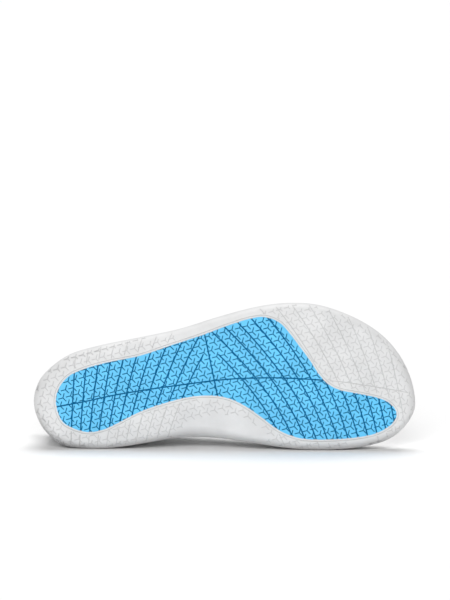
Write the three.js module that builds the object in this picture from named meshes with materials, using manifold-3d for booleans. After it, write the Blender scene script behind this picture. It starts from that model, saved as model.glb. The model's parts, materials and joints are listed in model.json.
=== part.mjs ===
// A barefoot training shoe for the right foot: thin white rubber cup sole with a blue tread inlay,
// hollow fabric upper, tongue, insole and laces. It lies on its inner side, sole edge and upper on the floor.
// All sizes are millimetres. Shoe axes: x from heel to toe, y towards the inner side, z up from the ground.
import * as THREE from "three";
import { mergeVertices } from "three/addons/utils/BufferGeometryUtils.js";
import Module from "manifold-3d";

const wasm = await Module();
wasm.setup();

// Driving dimensions of the sole
const soleLength = 284; // heel to toe, outside of the rubber
const ballWidth = 108.5; // across the ball, outside of the rubber
const toeSpring = 9; // lift of the toe tip off the ground
const toeSpringStart = 0.72; // share of the length where the toe begins to lift
const heelSpring = 3; // lift of the heel's back edge
const heelSpringEnd = 0.09;
const archRise = 7; // lift of the inner edge under the arch
const archMiddle = 0.44;
const archReach = 0.16; // half the length of the arch, as a share of the length
const baseThickness = 3.5; // rubber under the foot, tread included
const cupWall = 2.4; // rubber beside the foot, where the sole turns up
const cupRim = 1.2; // rubber at the top of the cup
const rim = { side: 12.5, toe: 7, heel: 8, arch: 3 }; // height of the cup over the tread's edge, and how much more
const edgeRound = { side: 6, heel: 10, arch: 11, toe: 8 }; // how far in the tread edge is rounded

// Tread inlay and its flex grooves
const inlayDepth = 1.6;
const inlayProud = 0.3; // the inlay stands this far out of the white rubber
const grooveWidth = 1.1;
const grooveDepth = 0.9;
const heelGrooves = { count: 11, first: 29.2, pitch: 7.44, growth: 0.115, slope: -0.051, turn: -0.0048, bend: 0.0082 };
const toeGrooves = { count: 13, first: 154.3, pitch: 10.9, growth: -0.0966, slope: 0.87, turn: -0.0057, bend: 0.0105 };
const waistReach = 33; // how far out the two grooves next to the waist groove start
const waistGroove = { top: 127.3, slope: 0.21 };

// Upper, insole, tongue and laces
const gap = 0.3; // between pieces that touch
const upperWall = 2;
const collarWall = 5.5; // padded wall round the ankle
const collarPadDepth = 24; // how far down from the top line the padding reaches
const collarPadEnd = 0.22; // share of the length where the padding begins to thin out towards the throat
const upperCorner = 5; // rounding where the upper turns under the foot
const lastingMargin = 11; // width of the upper's edge turned in under the insole
const insoleThickness = 3;
const eyestayThickness = 0.9;
const eyestayWidth = 15;
const throat = { back: 99, tip: 178, halfTop: 13, halfTip: 8.5 };
const tongueThickness = 4;
const tongueShape = { back: 72, root: 190, halfTop: 18, halfRoot: 15, top: 93, slant: 0.66 };
const eyelets = { pairs: 6, first: 108, last: 169, offset: 6.5, radius: 2.1 };
const lace = { width: 6, thickness: 1.3, lift: 1.6 };
const ankleTop = 124; // height where the last's ankle is closed off, above every edge that shows
const overAll = 1.6 * ankleTop; // top of every upright cutter
const heelLoop = { width: 12, thickness: 1.2, low: 54, high: 86, opening: 3.2 };

// Plan of the sole's outer edge: along is a share of the length from the heel, across of the ball width, inner side +.
const soleEdge = [
  { along: 0.001, across: -0.01 }, { along: 0.015, across: -0.124 }, { along: 0.042, across: -0.206 },
  { along: 0.094, across: -0.301 }, { along: 0.173, across: -0.363 }, { along: 0.277, across: -0.418 },
  { along: 0.382, across: -0.477 }, { along: 0.487, across: -0.562 }, { along: 0.592, across: -0.632 },
  { along: 0.669, across: -0.654 }, { along: 0.749, across: -0.638 }, { along: 0.854, across: -0.535 },
  { along: 0.926, across: -0.4 }, { along: 0.972, across: -0.235 }, { along: 0.996, across: -0.055 },
  { along: 0.998, across: 0.075 }, { along: 0.97, across: 0.2 }, { along: 0.926, across: 0.285 },
  { along: 0.852, across: 0.335 }, { along: 0.757, across: 0.352 }, { along: 0.664, across: 0.34 },
  { along: 0.574, across: 0.305 }, { along: 0.475, across: 0.272 }, { along: 0.38, across: 0.268 },
  { along: 0.304, across: 0.3 }, { along: 0.218, across: 0.335 }, { along: 0.141, across: 0.342 },
  { along: 0.077, across: 0.317 }, { along: 0.03, across: 0.224 }, { along: 0.004, across: 0.093 },
];

// Plan of the inlay: heel pad, outer side of the arch, ball, and a tongue out to the big toe.
const inlayEdge = [
  { along: 0.06, across: 0.02 }, { along: 0.068, across: -0.069 }, { along: 0.094, across: -0.151 },
  { along: 0.133, across: -0.199 }, { along: 0.199, across: -0.247 }, { along: 0.277, across: -0.288 },
  { along: 0.356, across: -0.357 }, { along: 0.435, across: -0.425 }, { along: 0.513, across: -0.5 },
  { along: 0.565, across: -0.542 }, { along: 0.597, across: -0.555 }, { along: 0.623, across: -0.542 },
  { along: 0.647, across: -0.507 }, { along: 0.67, across: -0.439 }, { along: 0.696, across: -0.349 },
  { along: 0.723, across: -0.253 }, { along: 0.749, across: -0.151 }, { along: 0.775, across: -0.086 },
  { along: 0.801, across: -0.055 }, { along: 0.854, across: -0.028 }, { along: 0.906, across: 0.004 },
  { along: 0.932, across: 0.038 }, { along: 0.948, across: 0.096 }, { along: 0.945, across: 0.144 },
  { along: 0.927, across: 0.192 }, { along: 0.893, across: 0.237 }, { along: 0.84, across: 0.264 },
  { along: 0.762, across: 0.277 }, { along: 0.696, across: 0.267 }, { along: 0.644, across: 0.216 },
  { along: 0.592, across: 0.116 }, { along: 0.547, across: 0.038 }, { along: 0.508, across: -0.006 },
  { along: 0.461, across: -0.024 }, { along: 0.408, across: -0.014 }, { along: 0.343, across: 0.028 },
  { along: 0.277, across: 0.089 }, { along: 0.225, across: 0.158 }, { along: 0.186, across: 0.206 },
  { along: 0.146, across: 0.226 }, { along: 0.107, across: 0.202 }, { along: 0.076, across: 0.151 },
];

// Middle line of the foot, which the long groove follows too.
const middleLine = [
  { along: 0, across: 0.083 }, { along: 0.062, across: 0.055 }, { along: 0.135, across: 0.02 },
  { along: 0.21, across: -0.023 }, { along: 0.373, across: -0.089 }, { along: 0.539, across: -0.137 },
  { along: 0.62, across: -0.142 }, { along: 0.775, across: -0.122 }, { along: 0.907, across: -0.074 },
  { along: 1, across: -0.03 },
];

// Cross-sections of the last: ridge is the height of its top, lean how far the ridge lies to the inner side,
// square how boxy the arch is (2 is an ellipse), taper how much the side wall draws in by the top.
const sections = [
  { along: 0, ridge: 124, lean: 0, square: 5, taper: 0.24 },
  { along: 0.135, ridge: 124, lean: 0, square: 5, taper: 0.24 },
  { along: 0.24, ridge: 124, lean: 1, square: 3.4, taper: 0.22 },
  { along: 0.275, ridge: 114, lean: 2, square: 2.7, taper: 0.2 },
  { along: 0.315, ridge: 99, lean: 3, square: 2.2, taper: 0.16 },
  { along: 0.36, ridge: 87, lean: 4, square: 2, taper: 0.1 },
  { along: 0.42, ridge: 77, lean: 5, square: 2, taper: 0.04 },
  { along: 0.52, ridge: 65, lean: 6.5, square: 2, taper: 0 },
  { along: 0.62, ridge: 54, lean: 8, square: 2.1, taper: 0 },
  { along: 0.72, ridge: 45.5, lean: 8, square: 2.25, taper: 0 },
  { along: 0.8, ridge: 41, lean: 7, square: 2.5, taper: 0 },
];

// Top line of the ankle opening: height above the ground along the shoe.
const topLine = [
  { along: -0.05, height: 79 }, { along: 0.03, height: 78 }, { along: 0.08, height: 71 },
  { along: 0.15, height: 61.5 }, { along: 0.21, height: 58 }, { along: 0.27, height: 62 },
  { along: 0.32, height: 72 }, { along: 0.35, height: 83 }, { along: 0.37, height: 97 },
];
const topLineTilt = 0.06; // the inner side of the top line is higher than the outer

// Back of the heel in side view: outward bulge of the wall, mm, at shares of the ankle's height.
const heelCurve = [
  { at: 0, out: -1.5 }, { at: 0.12, out: 1 }, { at: 0.3, out: -1 }, { at: 0.48, out: -6.5 },
  { at: 0.62, out: -6 }, { at: 1, out: -6 },
];

// How many points the faceted solids have
const sideStations = 12;
const toeStations = 5;
const heelStations = 5;
const archPoints = 7;
const edgeSamples = 360;
const soleShares = [0, 0.45, 0.82]; // places across the flat of the sole
const cornerTurns = [0, 45]; // degrees round the corner under the foot

const clamp01 = (t) => Math.min(1, Math.max(0, t));
const smooth = (t) => clamp01(t) ** 2 * (3 - 2 * clamp01(t));

// Value of a column at a place in a table, on a smooth curve that doesn't overshoot its rows.
function follow(table, key, column, at) {
  const n = table.length;
  if (at <= table[0][key]) return table[0][column];
  if (at >= table[n - 1][key]) return table[n - 1][column];
  const slope = (i) => (table[i + 1][column] - table[i][column]) / (table[i + 1][key] - table[i][key]);
  const tangent = (i) => {
    if (i === 0) return slope(0);
    if (i === n - 1) return slope(n - 2);
    const [a, b] = [slope(i - 1), slope(i)];
    return a * b <= 0 ? 0 : (2 * a * b) / (a + b);
  };
  const i = table.findIndex((row, k) => at < table[k + 1][key]);
  const span = table[i + 1][key] - table[i][key];
  const t = (at - table[i][key]) / span;
  const [p0, p1] = [table[i][column], table[i + 1][column]];
  const [m0, m1] = [tangent(i) * span, tangent(i + 1) * span];
  return (2 * t ** 3 - 3 * t ** 2 + 1) * p0 + (t ** 3 - 2 * t ** 2 + t) * m0
    + (3 * t ** 2 - 2 * t ** 3) * p1 + (t ** 3 - t ** 2) * m1;
}

// Closed smooth plan curve through a table of shares, as points evenly spaced along it.
function planCurve(table, count) {
  const points = table.map((row) => new THREE.Vector3(row.along * soleLength, row.across * ballWidth, 0));
  return new THREE.CatmullRomCurve3(points, true, "centripetal").getSpacedPoints(count).slice(0, -1);
}

const edge = planCurve(soleEdge, edgeSamples);
const middleY = (x) => follow(middleLine, "along", "across", x / soleLength) * ballWidth;

// Distance from a point to the sole's edge along a direction in plan.
function reach(x, y, dx, dy) {
  let best = 0;
  edge.forEach((a, i) => {
    const b = edge[(i + 1) % edge.length];
    const [ex, ey] = [b.x - a.x, b.y - a.y];
    const det = dx * -ey + ex * dy;
    if (Math.abs(det) < 1e-9) return;
    const r = ((a.x - x) * -ey + ex * (a.y - y)) / det;
    const s = (dx * (a.y - y) - dy * (a.x - x)) / det;
    if (s >= -1e-6 && s <= 1 + 1e-6 && r > best) best = r;
  });
  return best;
}

// Height of the tread over the ground: toe spring, heel bevel and the raised arch.
function treadHeight(x, y) {
  const along = x / soleLength;
  const toe = toeSpring * clamp01((along - toeSpringStart) / (1 - toeSpringStart)) ** 2;
  const heel = heelSpring * clamp01((heelSpringEnd - along) / heelSpringEnd) ** 2;
  const across = smooth((y - middleY(x) - 0.08 * ballWidth) / (0.3 * ballWidth));
  const lengthwise = smooth(1 - Math.abs(along - archMiddle) / archReach);
  return toe + heel + archRise * across * lengthwise;
}

// Share of a named zone at a station: 1 in its middle, 0 outside it.
const archShare = (s) => (s.dy > 0.5 ? smooth(1 - Math.abs(s.x / soleLength - archMiddle) / archReach) : 0);

// Stations go round the shoe: each is a half-plane that stands on the middle line and points outwards.
function makeStations() {
  const heelX = 0.135 * soleLength;
  const toeX = 0.8 * soleLength;
  const at = (x, angle) => {
    const [dx, dy] = [Math.cos(angle), Math.sin(angle)];
    const y = middleY(x);
    return { x, y, dx, dy, radius: reach(x, y, dx, dy) };
  };
  const list = [];
  const alongSide = (i) => heelX + ((toeX - heelX) * i) / sideStations;
  for (let i = 0; i < sideStations; i++) list.push(at(alongSide(i), Math.PI / 2));
  for (let i = 0; i <= toeStations * 2; i++) list.push(at(toeX, Math.PI / 2 - (Math.PI * i) / (toeStations * 2)));
  for (let i = sideStations - 1; i >= 0; i--) list.push(at(alongSide(i), -Math.PI / 2));
  for (let i = 1; i < heelStations * 2; i++) list.push(at(heelX, -Math.PI / 2 - (Math.PI * i) / (heelStations * 2)));
  return list;
}
const stations = makeStations();
const toeCentre = 0.8 * soleLength;

const sectionAt = (s) => {
  const value = (column) => follow(sections, "along", column, s.x / soleLength);
  return { ridge: value("ridge"), lean: value("lean"), square: value("square"), taper: value("taper") };
};
const ridgeFall = (sectionAt({ x: toeCentre }).ridge - sectionAt({ x: toeCentre - 10 }).ridge) / 10;

// Point of a station's half-plane as x, y, z; the section leans to the inner side as it rises.
function place(s, r, z, lean = 0) {
  return [s.x + s.dx * r, s.y + s.dy * r + lean, z];
}

// Profile of the last in a station's half-plane, from under the middle of the foot to the ridge. Each point has
// its radius, height, lean and share of the height; inset moves it inwards along its own normal.
function lastProfile(s, inset) {
  const shape = sectionAt(s);
  const reachIn = s.radius - cupWall - gap;
  const foot = (r) => treadHeight(s.x + s.dx * r, s.y + s.dy * r) + baseThickness + gap;
  const bottomEdge = foot(reachIn);
  const start = bottomEdge + upperCorner;
  const points = [];
  for (const share of soleShares) {
    const r = (reachIn - upperCorner) * share;
    points.push({ r, z: foot(r), up: 0 });
  }
  for (const turn of cornerTurns) {
    const a = THREE.MathUtils.degToRad(turn);
    const r = reachIn - upperCorner + upperCorner * Math.sin(a);
    points.push({ r, z: bottomEdge + upperCorner * (1 - Math.cos(a)), up: 0 });
  }
  for (let i = 0; i <= archPoints; i++) {
    const a = (i / archPoints) * (Math.PI / 2);
    const up = Math.sin(a);
    const round = (1 - up ** shape.square) ** (1 / shape.square);
    const heelward = Math.max(0, -s.dx);
    const back = follow(heelCurve, "at", "out", up) * heelward * Math.min(1, round * 1.6);
    const r = reachIn * (1 - shape.taper * up * (1 - heelward)) * round + back;
    const forward = Math.max(0, s.dx) * r * ridgeFall * up;
    points.push({ r, z: start + (shape.ridge - start) * up + forward, up });
  }
  const last = points.length - 1;
  return points.map((p, i) => {
    const [a, b] = [points[Math.max(0, i - 1)], points[Math.min(last, i + 1)]];
    let [nr, nz] = [b.z - a.z, a.r - b.r];
    if (i === 0) [nr, nz] = [0, -1];
    if (i === last) [nr, nz] = [0, 1];
    const size = Math.hypot(nr, nz);
    const depth = typeof inset === "function" ? inset(s, p) : inset;
    const lean = shape.lean * p.up ** 1.5;
    return { r: Math.max(0, p.r - (nr / size) * depth), z: p.z - (nz / size) * depth, lean, up: p.up };
  });
}

// Closed solid from one profile for each station. Profiles run from the middle of the bottom to the middle of the top.
function loft(profileOf) {
  const rings = stations.map((s) => profileOf(s).map((p) => place(s, p.r, p.z, p.lean)));
  const positions = [];
  rings.forEach((ring, i) => {
    const next = rings[(i + 1) % rings.length];
    for (let k = 0; k + 1 < ring.length; k++) {
      positions.push(...ring[k], ...next[k], ...next[k + 1]);
      positions.push(...ring[k], ...next[k + 1], ...ring[k + 1]);
    }
  });
  const geometry = new THREE.BufferGeometry();
  geometry.setAttribute("position", new THREE.Float32BufferAttribute(positions, 3));
  return solid(geometry);
}

// Closed geometry as a manifold solid, with its doubled vertices merged and its faces turned outwards.
function solid(geometry) {
  const bare = geometry.index ? geometry.toNonIndexed() : geometry.clone();
  bare.deleteAttribute("normal");
  bare.deleteAttribute("uv");
  const merged = mergeVertices(bare, 1e-4);
  const index = merged.index.array;
  const keep = [];
  for (let i = 0; i < index.length; i += 3) {
    const [a, b, c] = [index[i], index[i + 1], index[i + 2]];
    if (a !== b && b !== c && c !== a) keep.push(a, b, c);
  }
  const build = (order) => new wasm.Manifold(new wasm.Mesh({
    numProp: 3,
    vertProperties: merged.attributes.position.array,
    triVerts: new Uint32Array(order),
  }));
  const made = build(keep);
  if (made.volume() > 0) return made;
  const turned = [];
  for (let i = 0; i < keep.length; i += 3) turned.push(keep[i], keep[i + 2], keep[i + 1]);
  return build(turned);
}

// Prism over a closed outline, without the points that lie on a straight line between their neighbours.
function extruded(outline, depth) {
  const bent = outline.filter((p, i) => {
    const [a, b] = [outline.at(i - 1), outline[(i + 1) % outline.length]];
    return Math.abs((p.x - a.x) * (b.y - a.y) - (p.y - a.y) * (b.x - a.x)) > 1e-3;
  });
  const shape = new THREE.Shape(bent.map((p) => new THREE.Vector2(p.x, p.y)));
  return new THREE.ExtrudeGeometry(shape, { depth, bevelEnabled: false });
}

// Upright prism over a closed plan outline.
const prism = (outline, low, high) => solid(extruded(outline, high - low).translate(0, 0, low));

// Plan outline moved outwards by a distance.
function grown(outline, distance) {
  const area = outline.reduce((sum, a, i) => {
    const b = outline[(i + 1) % outline.length];
    return sum + a.x * b.y - b.x * a.y;
  }, 0);
  const side = area > 0 ? 1 : -1;
  return outline.map((p, i) => {
    const a = outline[(i + outline.length - 1) % outline.length];
    const b = outline[(i + 1) % outline.length];
    const size = Math.hypot(b.x - a.x, b.y - a.y);
    return { x: p.x + (side * distance * (b.y - a.y)) / size, y: p.y - (side * distance * (b.x - a.x)) / size };
  });
}

const all = (list) => list.reduce((sum, item) => sum.add(item));

// Layer that follows the tread, between two heights over it.
function treadLayer(low, high, wider = 4) {
  return loft((s) => {
    const round = roundAt(s);
    const radii = soleShares.map((share) => share * (s.radius - round)).concat(s.radius - round, s.radius + wider);
    const height = (r) => treadHeight(s.x + s.dx * Math.min(r, s.radius), s.y + s.dy * Math.min(r, s.radius));
    const under = radii.map((r) => ({ r, z: height(r) + low, lean: 0 }));
    const over = radii.map((r) => ({ r, z: height(r) + high, lean: 0 })).reverse();
    return under.concat(over);
  });
}

// How far in from the edge the tread is rounded, at a station.
function roundAt(s) {
  const heel = edgeRound.side + (edgeRound.heel - edgeRound.side) * Math.max(0, -s.dx);
  const toe = heel + (edgeRound.toe - edgeRound.side) * Math.max(0, s.dx);
  return toe + (edgeRound.arch - edgeRound.side) * archShare(s);
}

// Height of the cup's rim over the tread's edge: higher as a guard round the toe and behind the heel.
const rimAbove = (s) => rim.side + rim.toe * Math.max(0, s.dx) ** 2 + rim.heel * Math.max(0, -s.dx) ** 2 + rim.arch * archShare(s);

// Flex grooves fan out from the waist of the sole: a groove's slope turns with its place along the sole.
function makeGrooves() {
  const line = (xOf, from, to) => {
    const steps = 4;
    const points = [];
    for (let i = 0; i <= steps; i++) {
      const y = from + ((to - from) * i) / steps;
      points.push({ x: xOf(y), y });
    }
    return points;
  };
  const families = [[heelGrooves, heelGrooves.count - 1], [toeGrooves, 0]].flatMap(([family, shortest]) => {
    return Array.from({ length: family.count }, (_, i) => {
      const x = family.first + family.pitch * i + family.growth * i * i;
      const slope = family.slope + family.turn * (x - family.first);
      const xOf = (y) => x + slope * (y - middleY(x)) * (1 - (family.bend * (y - middleY(x))) / 2);
      return line(xOf, i === shortest ? -waistReach : -0.66 * ballWidth, 0.36 * ballWidth);
    });
  });
  const waist = line((y) => waistGroove.top + waistGroove.slope * (y + 0.43 * ballWidth), -0.5 * ballWidth, 0.1 * ballWidth);
  const long = Array.from({ length: 13 }, (_, i) => {
    const x = (soleLength * (i + 0.5)) / 13;
    return { x, y: middleY(x) };
  });
  return all([...families, waist, long].map((path) => prism(ribbon(path, grooveWidth), -5, 25)));
}

// Plan outline of a narrow band along a path.
function ribbon(path, width) {
  const sides = path.map((p, i) => {
    const [a, b] = [path[Math.max(0, i - 1)], path[Math.min(path.length - 1, i + 1)]];
    const size = Math.hypot(b.x - a.x, b.y - a.y);
    return { p, nx: (-(b.y - a.y) / size) * (width / 2), ny: ((b.x - a.x) / size) * (width / 2) };
  });
  const left = sides.map(({ p, nx, ny }) => ({ x: p.x + nx, y: p.y + ny }));
  const right = sides.map(({ p, nx, ny }) => ({ x: p.x - nx, y: p.y - ny }));
  return left.concat(right.reverse());
}

// White rubber cup with a recess for the inlay.
function makeSole() {
  const outer = loft((s) => {
    const round = roundAt(s);
    const tread = (r) => treadHeight(s.x + s.dx * r, s.y + s.dy * r);
    const flat = s.radius - round;
    const points = soleShares.map((share) => ({ r: share * flat, z: tread(share * flat), lean: 0 }));
    const side = lastProfile(s, (_, p) => -(gap + cupRim + (cupWall - cupRim) * clamp01(1 - p.up * 3)));
    const rimHeight = tread(s.radius) + rimAbove(s);
    const wall = side.slice(-archPoints - 1);
    const widest = { r: s.radius, z: tread(s.radius) + baseThickness + gap + upperCorner };
    const rise = widest.z - tread(flat);
    for (const turn of [0, 30, 60]) {
      const a = THREE.MathUtils.degToRad(turn);
      points.push({ r: flat + round * Math.sin(a), z: tread(flat) + rise * (1 - Math.cos(a)), lean: 0 });
    }
    points.push({ ...widest, lean: 0 });
    const wallPoint = (z) => {
      const above = wall.findIndex((p) => p.z > z);
      const [low, high] = [wall[above - 1], wall[above]];
      const t = (z - low.z) / (high.z - low.z);
      return { r: low.r + (high.r - low.r) * t, z, lean: low.lean + (high.lean - low.lean) * t };
    };
    points.push(wallPoint((widest.z + rimHeight) / 2), wallPoint(rimHeight));
    points.push({ r: 0, z: tread(0) + rim.side, lean: 0 });
    return points;
  });
  const cavity = loft((s) => lastProfile(s, -gap));
  return outer.subtract(cavity);
}

const form = (inset) => loft((s) => lastProfile(s, inset));

// Side view cutter for everything above the ankle's top line.
function topLineCutter() {
  const outline = topLine.map((row) => ({ x: row.along * soleLength, y: row.height }));
  const curve = new THREE.SplineCurve(outline.map((p) => new THREE.Vector2(p.x, p.y))).getPoints(22);
  const outlineAbove = curve.concat([{ x: curve.at(-1).x, y: overAll }, { x: curve[0].x, y: overAll }]);
  const geometry = extruded(outlineAbove, 2 * ballWidth).translate(0, 0, -ballWidth).rotateX(Math.PI / 2);
  geometry.applyMatrix4(new THREE.Matrix4().makeShear(0, 0, 0, topLineTilt, 0, 0));
  return solid(geometry);
}

// Cutter over the tongue's end, square to the tongue in side view, with round corners in front view.
function makeTongueCut() {
  const { halfTop, top, slant, back } = tongueShape;
  const corner = halfTop * 0.6;
  const round = [0, 30, 60, 90].map((turn) => {
    const a = THREE.MathUtils.degToRad(turn);
    return { x: halfTop - corner + corner * Math.cos(a), y: top - corner + corner * Math.sin(a) };
  });
  const left = round.map((p) => ({ x: -p.x, y: p.y })).reverse();
  const below = { x: halfTop * 2, y: top - corner };
  const sides = [{ x: -below.x, y: below.y }, { x: -below.x, y: overAll }, { x: below.x, y: overAll }, below];
  const geometry = extruded([...round, ...left, ...sides], ballWidth).rotateX(Math.PI / 2).rotateZ(Math.PI / 2);
  geometry.applyMatrix4(new THREE.Matrix4().makeShear(0, slant, 0, 0, 0, 0));
  return solid(geometry.translate(back - halfTop, ridgeY(back), -slant * halfTop));
}

const ridgeY = (x) => middleY(x) + follow(sections, "along", "lean", x / soleLength);

// Plan outline of a tapered band along the ridge, square at the back and round at the front.
function ridgeBand(back, front, halfBack, halfFront, roundBack = 0) {
  const steps = 10;
  const half = (x) => halfBack + ((halfFront - halfBack) * (x - back)) / (front - back);
  const end = front - halfFront;
  const points = [];
  for (let i = 0; i <= steps; i++) {
    const x = back + ((end - back) * i) / steps;
    const ease = roundBack ? Math.sqrt(1 - clamp01(1 - (x - back) / roundBack) ** 2) : 1;
    points.push({ x, half: half(x) * (roundBack ? 0.45 + 0.55 * ease : 1) });
  }
  for (const turn of [30, 60]) {
    const a = THREE.MathUtils.degToRad(turn);
    points.push({ x: end + halfFront * Math.sin(a), half: half(end) * Math.cos(a) });
  }
  const inner = points.map((p) => ({ x: p.x, y: ridgeY(p.x) + p.half }));
  const outer = points.map((p) => ({ x: p.x, y: ridgeY(p.x) - p.half }));
  return [...inner, { x: front, y: ridgeY(front) }, ...outer.reverse()];
}

// Wall of the upper: thin cloth, padded round the ankle.
function wallAt(s, p) {
  const edgeHeight = follow(topLine, "along", "height", (s.x + s.dx * 30) / soleLength);
  const along = 1 - smooth((s.x / soleLength - collarPadEnd) / 0.07);
  const near = smooth((p.z - (edgeHeight - collarPadDepth)) / collarPadDepth);
  return upperWall + (collarWall - upperWall) * along * near;
}

// Height of the last's section at x over a place near the ridge, moved out by a distance.
function sectionHeight(x, y, out) {
  const side = y > ridgeY(x) ? 1 : -1;
  const s = { x, y: middleY(x), dx: 0, dy: side, radius: reach(x, middleY(x), 0, side) };
  const across = lastProfile(s, -out).map((p) => ({ y: s.y + side * p.r + p.lean, z: p.z })).reverse();
  const i = Math.max(1, across.findIndex((p) => (p.y - y) * side >= 0));
  const [a, b] = [across[i - 1], across[i]];
  return a.z + ((b.z - a.z) * (y - a.y)) / (b.y - a.y);
}

// Height of the faceted last over a place near the ridge, which is straight from station to station.
function surfaceAt(x, y, out = 0) {
  const first = stations[0].x;
  const step = (toeCentre - first) / sideStations;
  const i = Math.floor((x - first) / step);
  const t = (x - first) / step - i;
  return sectionHeight(first + i * step, y, out) * (1 - t) + sectionHeight(first + (i + 1) * step, y, out) * t;
}

function normalAt(x, y) {
  const step = 1.5;
  const slopeX = (surfaceAt(x + step, y) - surfaceAt(x - step, y)) / (2 * step);
  const slopeY = (surfaceAt(x, y + step) - surfaceAt(x, y - step)) / (2 * step);
  return new THREE.Vector3(-slopeX, -slopeY, 1).normalize();
}

// Middles of the eyelets, on both sides of the throat.
const throatHalf = (x) => throat.halfTop + ((throat.halfTip - throat.halfTop) * (x - throat.back)) / (throat.tip - throat.back);
function eyeletAt(row, side) {
  const x = eyelets.first + ((eyelets.last - eyelets.first) * row) / (eyelets.pairs - 1);
  return { x, y: ridgeY(x) + side * (throatHalf(x) + eyelets.offset) };
}
const rows = Array.from({ length: eyelets.pairs }, (_, row) => row);

function makeEyeletHoles() {
  return all(rows.flatMap((row) => [1, -1].map((side) => {
    const { x, y } = eyeletAt(row, side);
    const normal = normalAt(x, y);
    const geometry = new THREE.CylinderGeometry(eyelets.radius, eyelets.radius, 9, 8);
    geometry.applyQuaternion(new THREE.Quaternion().setFromUnitVectors(new THREE.Vector3(0, 1, 0), normal));
    return solid(geometry.translate(x, y, surfaceAt(x, y)));
  })));
}

// Flat lace: crossings between neighbouring rows of eyelets and one bar at the bottom, joined into one piece.
function makeLace() {
  const lift = gap + eyestayThickness + lace.lift + lace.thickness / 2;
  const strand = (a, b) => {
    const steps = 4;
    const points = [];
    for (let i = 0; i <= steps; i++) {
      const t = (i / steps) * 1.06 - 0.03;
      const [x, y] = [a.x + (b.x - a.x) * t, a.y + (b.y - a.y) * t];
      points.push(new THREE.Vector3(x, y, surfaceAt(x, y)).addScaledVector(normalAt(x, y), lift));
    }
    const rings = points.map((p, i) => {
      const along = points[Math.min(steps, i + 1)].clone().sub(points[Math.max(0, i - 1)]).normalize();
      const up = normalAt(p.x, p.y);
      const across = new THREE.Vector3().crossVectors(up, along).normalize();
      const over = new THREE.Vector3().crossVectors(along, across);
      return [[-1, -1], [1, -1], [1, 1], [-1, 1]].map(([w, h]) => p.clone()
        .addScaledVector(across, (w * lace.width) / 2).addScaledVector(over, (h * lace.thickness) / 2));
    });
    return tubeOf(rings);
  };
  const bars = [strand(eyeletAt(eyelets.pairs - 1, -1), eyeletAt(eyelets.pairs - 1, 1))];
  for (const row of rows.slice(1)) {
    bars.push(strand(eyeletAt(row, -1), eyeletAt(row - 1, 1)));
    bars.push(strand(eyeletAt(row, 1), eyeletAt(row - 1, -1)));
  }
  return all(bars);
}

// Closed tube from rings of four corners.
function tubeOf(rings) {
  const positions = [];
  const push = (...points) => points.forEach((p) => positions.push(p.x, p.y, p.z));
  for (let i = 0; i + 1 < rings.length; i++) {
    for (let k = 0; k < 4; k++) {
      const [a, b, c, d] = [rings[i][k], rings[i][(k + 1) % 4], rings[i + 1][(k + 1) % 4], rings[i + 1][k]];
      push(a, b, c, a, c, d);
    }
  }
  const [first, last] = [rings[0], rings.at(-1)];
  push(first[0], first[2], first[1], first[0], first[3], first[2]);
  push(last[0], last[1], last[2], last[0], last[2], last[3]);
  const geometry = new THREE.BufferGeometry();
  geometry.setAttribute("position", new THREE.Float32BufferAttribute(positions, 3));
  return solid(geometry);
}

// Webbing loop sewn on the back of the heel, standing up over the top line.
function makeHeelLoop() {
  const back = stations.find((s) => s.dx < -0.999);
  const outside = lastProfile(back, -gap).filter((p) => p.up > 0).map((p) => ({ x: back.x - p.r, z: p.z }));
  const wallX = (z) => {
    const i = outside.findIndex((p) => p.z > z);
    const [a, b] = [outside[i - 1], outside[i]];
    return a.x + ((b.x - a.x) * (z - a.z)) / (b.z - a.z);
  };
  const steps = 8;
  const height = (i) => heelLoop.low + ((heelLoop.high - heelLoop.opening - heelLoop.low) * i) / steps;
  const inner = Array.from({ length: steps + 1 }, (_, i) => ({ x: wallX(height(i)), z: height(i) }));
  const top = inner.at(-1);
  const fold = heelLoop.opening / 2 + heelLoop.thickness;
  const cap = [30, 60, 90, 120, 150].map((turn) => {
    const a = THREE.MathUtils.degToRad(turn);
    return { x: top.x - fold + fold * Math.cos(a), z: top.z + fold * Math.sin(a) };
  });
  const outer = inner.map((p, i) => ({ x: p.x - 2 * fold * smooth(i / 3), z: p.z })).reverse();
  outer[outer.length - 1] = { x: inner[0].x - heelLoop.thickness, z: inner[0].z };
  const hollow = inner.slice(3).map((p) => ({ x: p.x - heelLoop.thickness, z: p.z }));
  const hollowBack = inner.slice(3).map((p) => ({ x: p.x - heelLoop.thickness - heelLoop.opening, z: p.z })).reverse();
  const slab = (points, depth) => solid(extruded(points.map((p) => ({ x: p.x, y: p.z })), depth)
    .translate(0, 0, -depth / 2).rotateX(Math.PI / 2).translate(0, back.y, 0));
  return slab([...inner, ...cap, ...outer], heelLoop.width).subtract(slab([...hollow, ...hollowBack], 2 * heelLoop.width));
}

// The pieces
const inlayPlan = planCurve(inlayEdge, 56);
const grooves = makeGrooves();
const tongueFloor = 0.75 * sectionAt({ x: toeCentre }).ridge; // under the ridge all along the throat, over the foot's edge
const inlayGrooveCut = grooves.intersect(treadLayer(-6, grooveDepth - inlayProud));
const inlayPrism = prism(inlayPlan, -10, 30);
const recess = prism(grown(inlayPlan, gap), -10, 30).intersect(treadLayer(-8, inlayDepth + gap));

const outsole = makeSole().subtract(recess);
const inlay = inlayPrism.intersect(treadLayer(-inlayProud, inlayDepth)).subtract(inlayGrooveCut);

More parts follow.
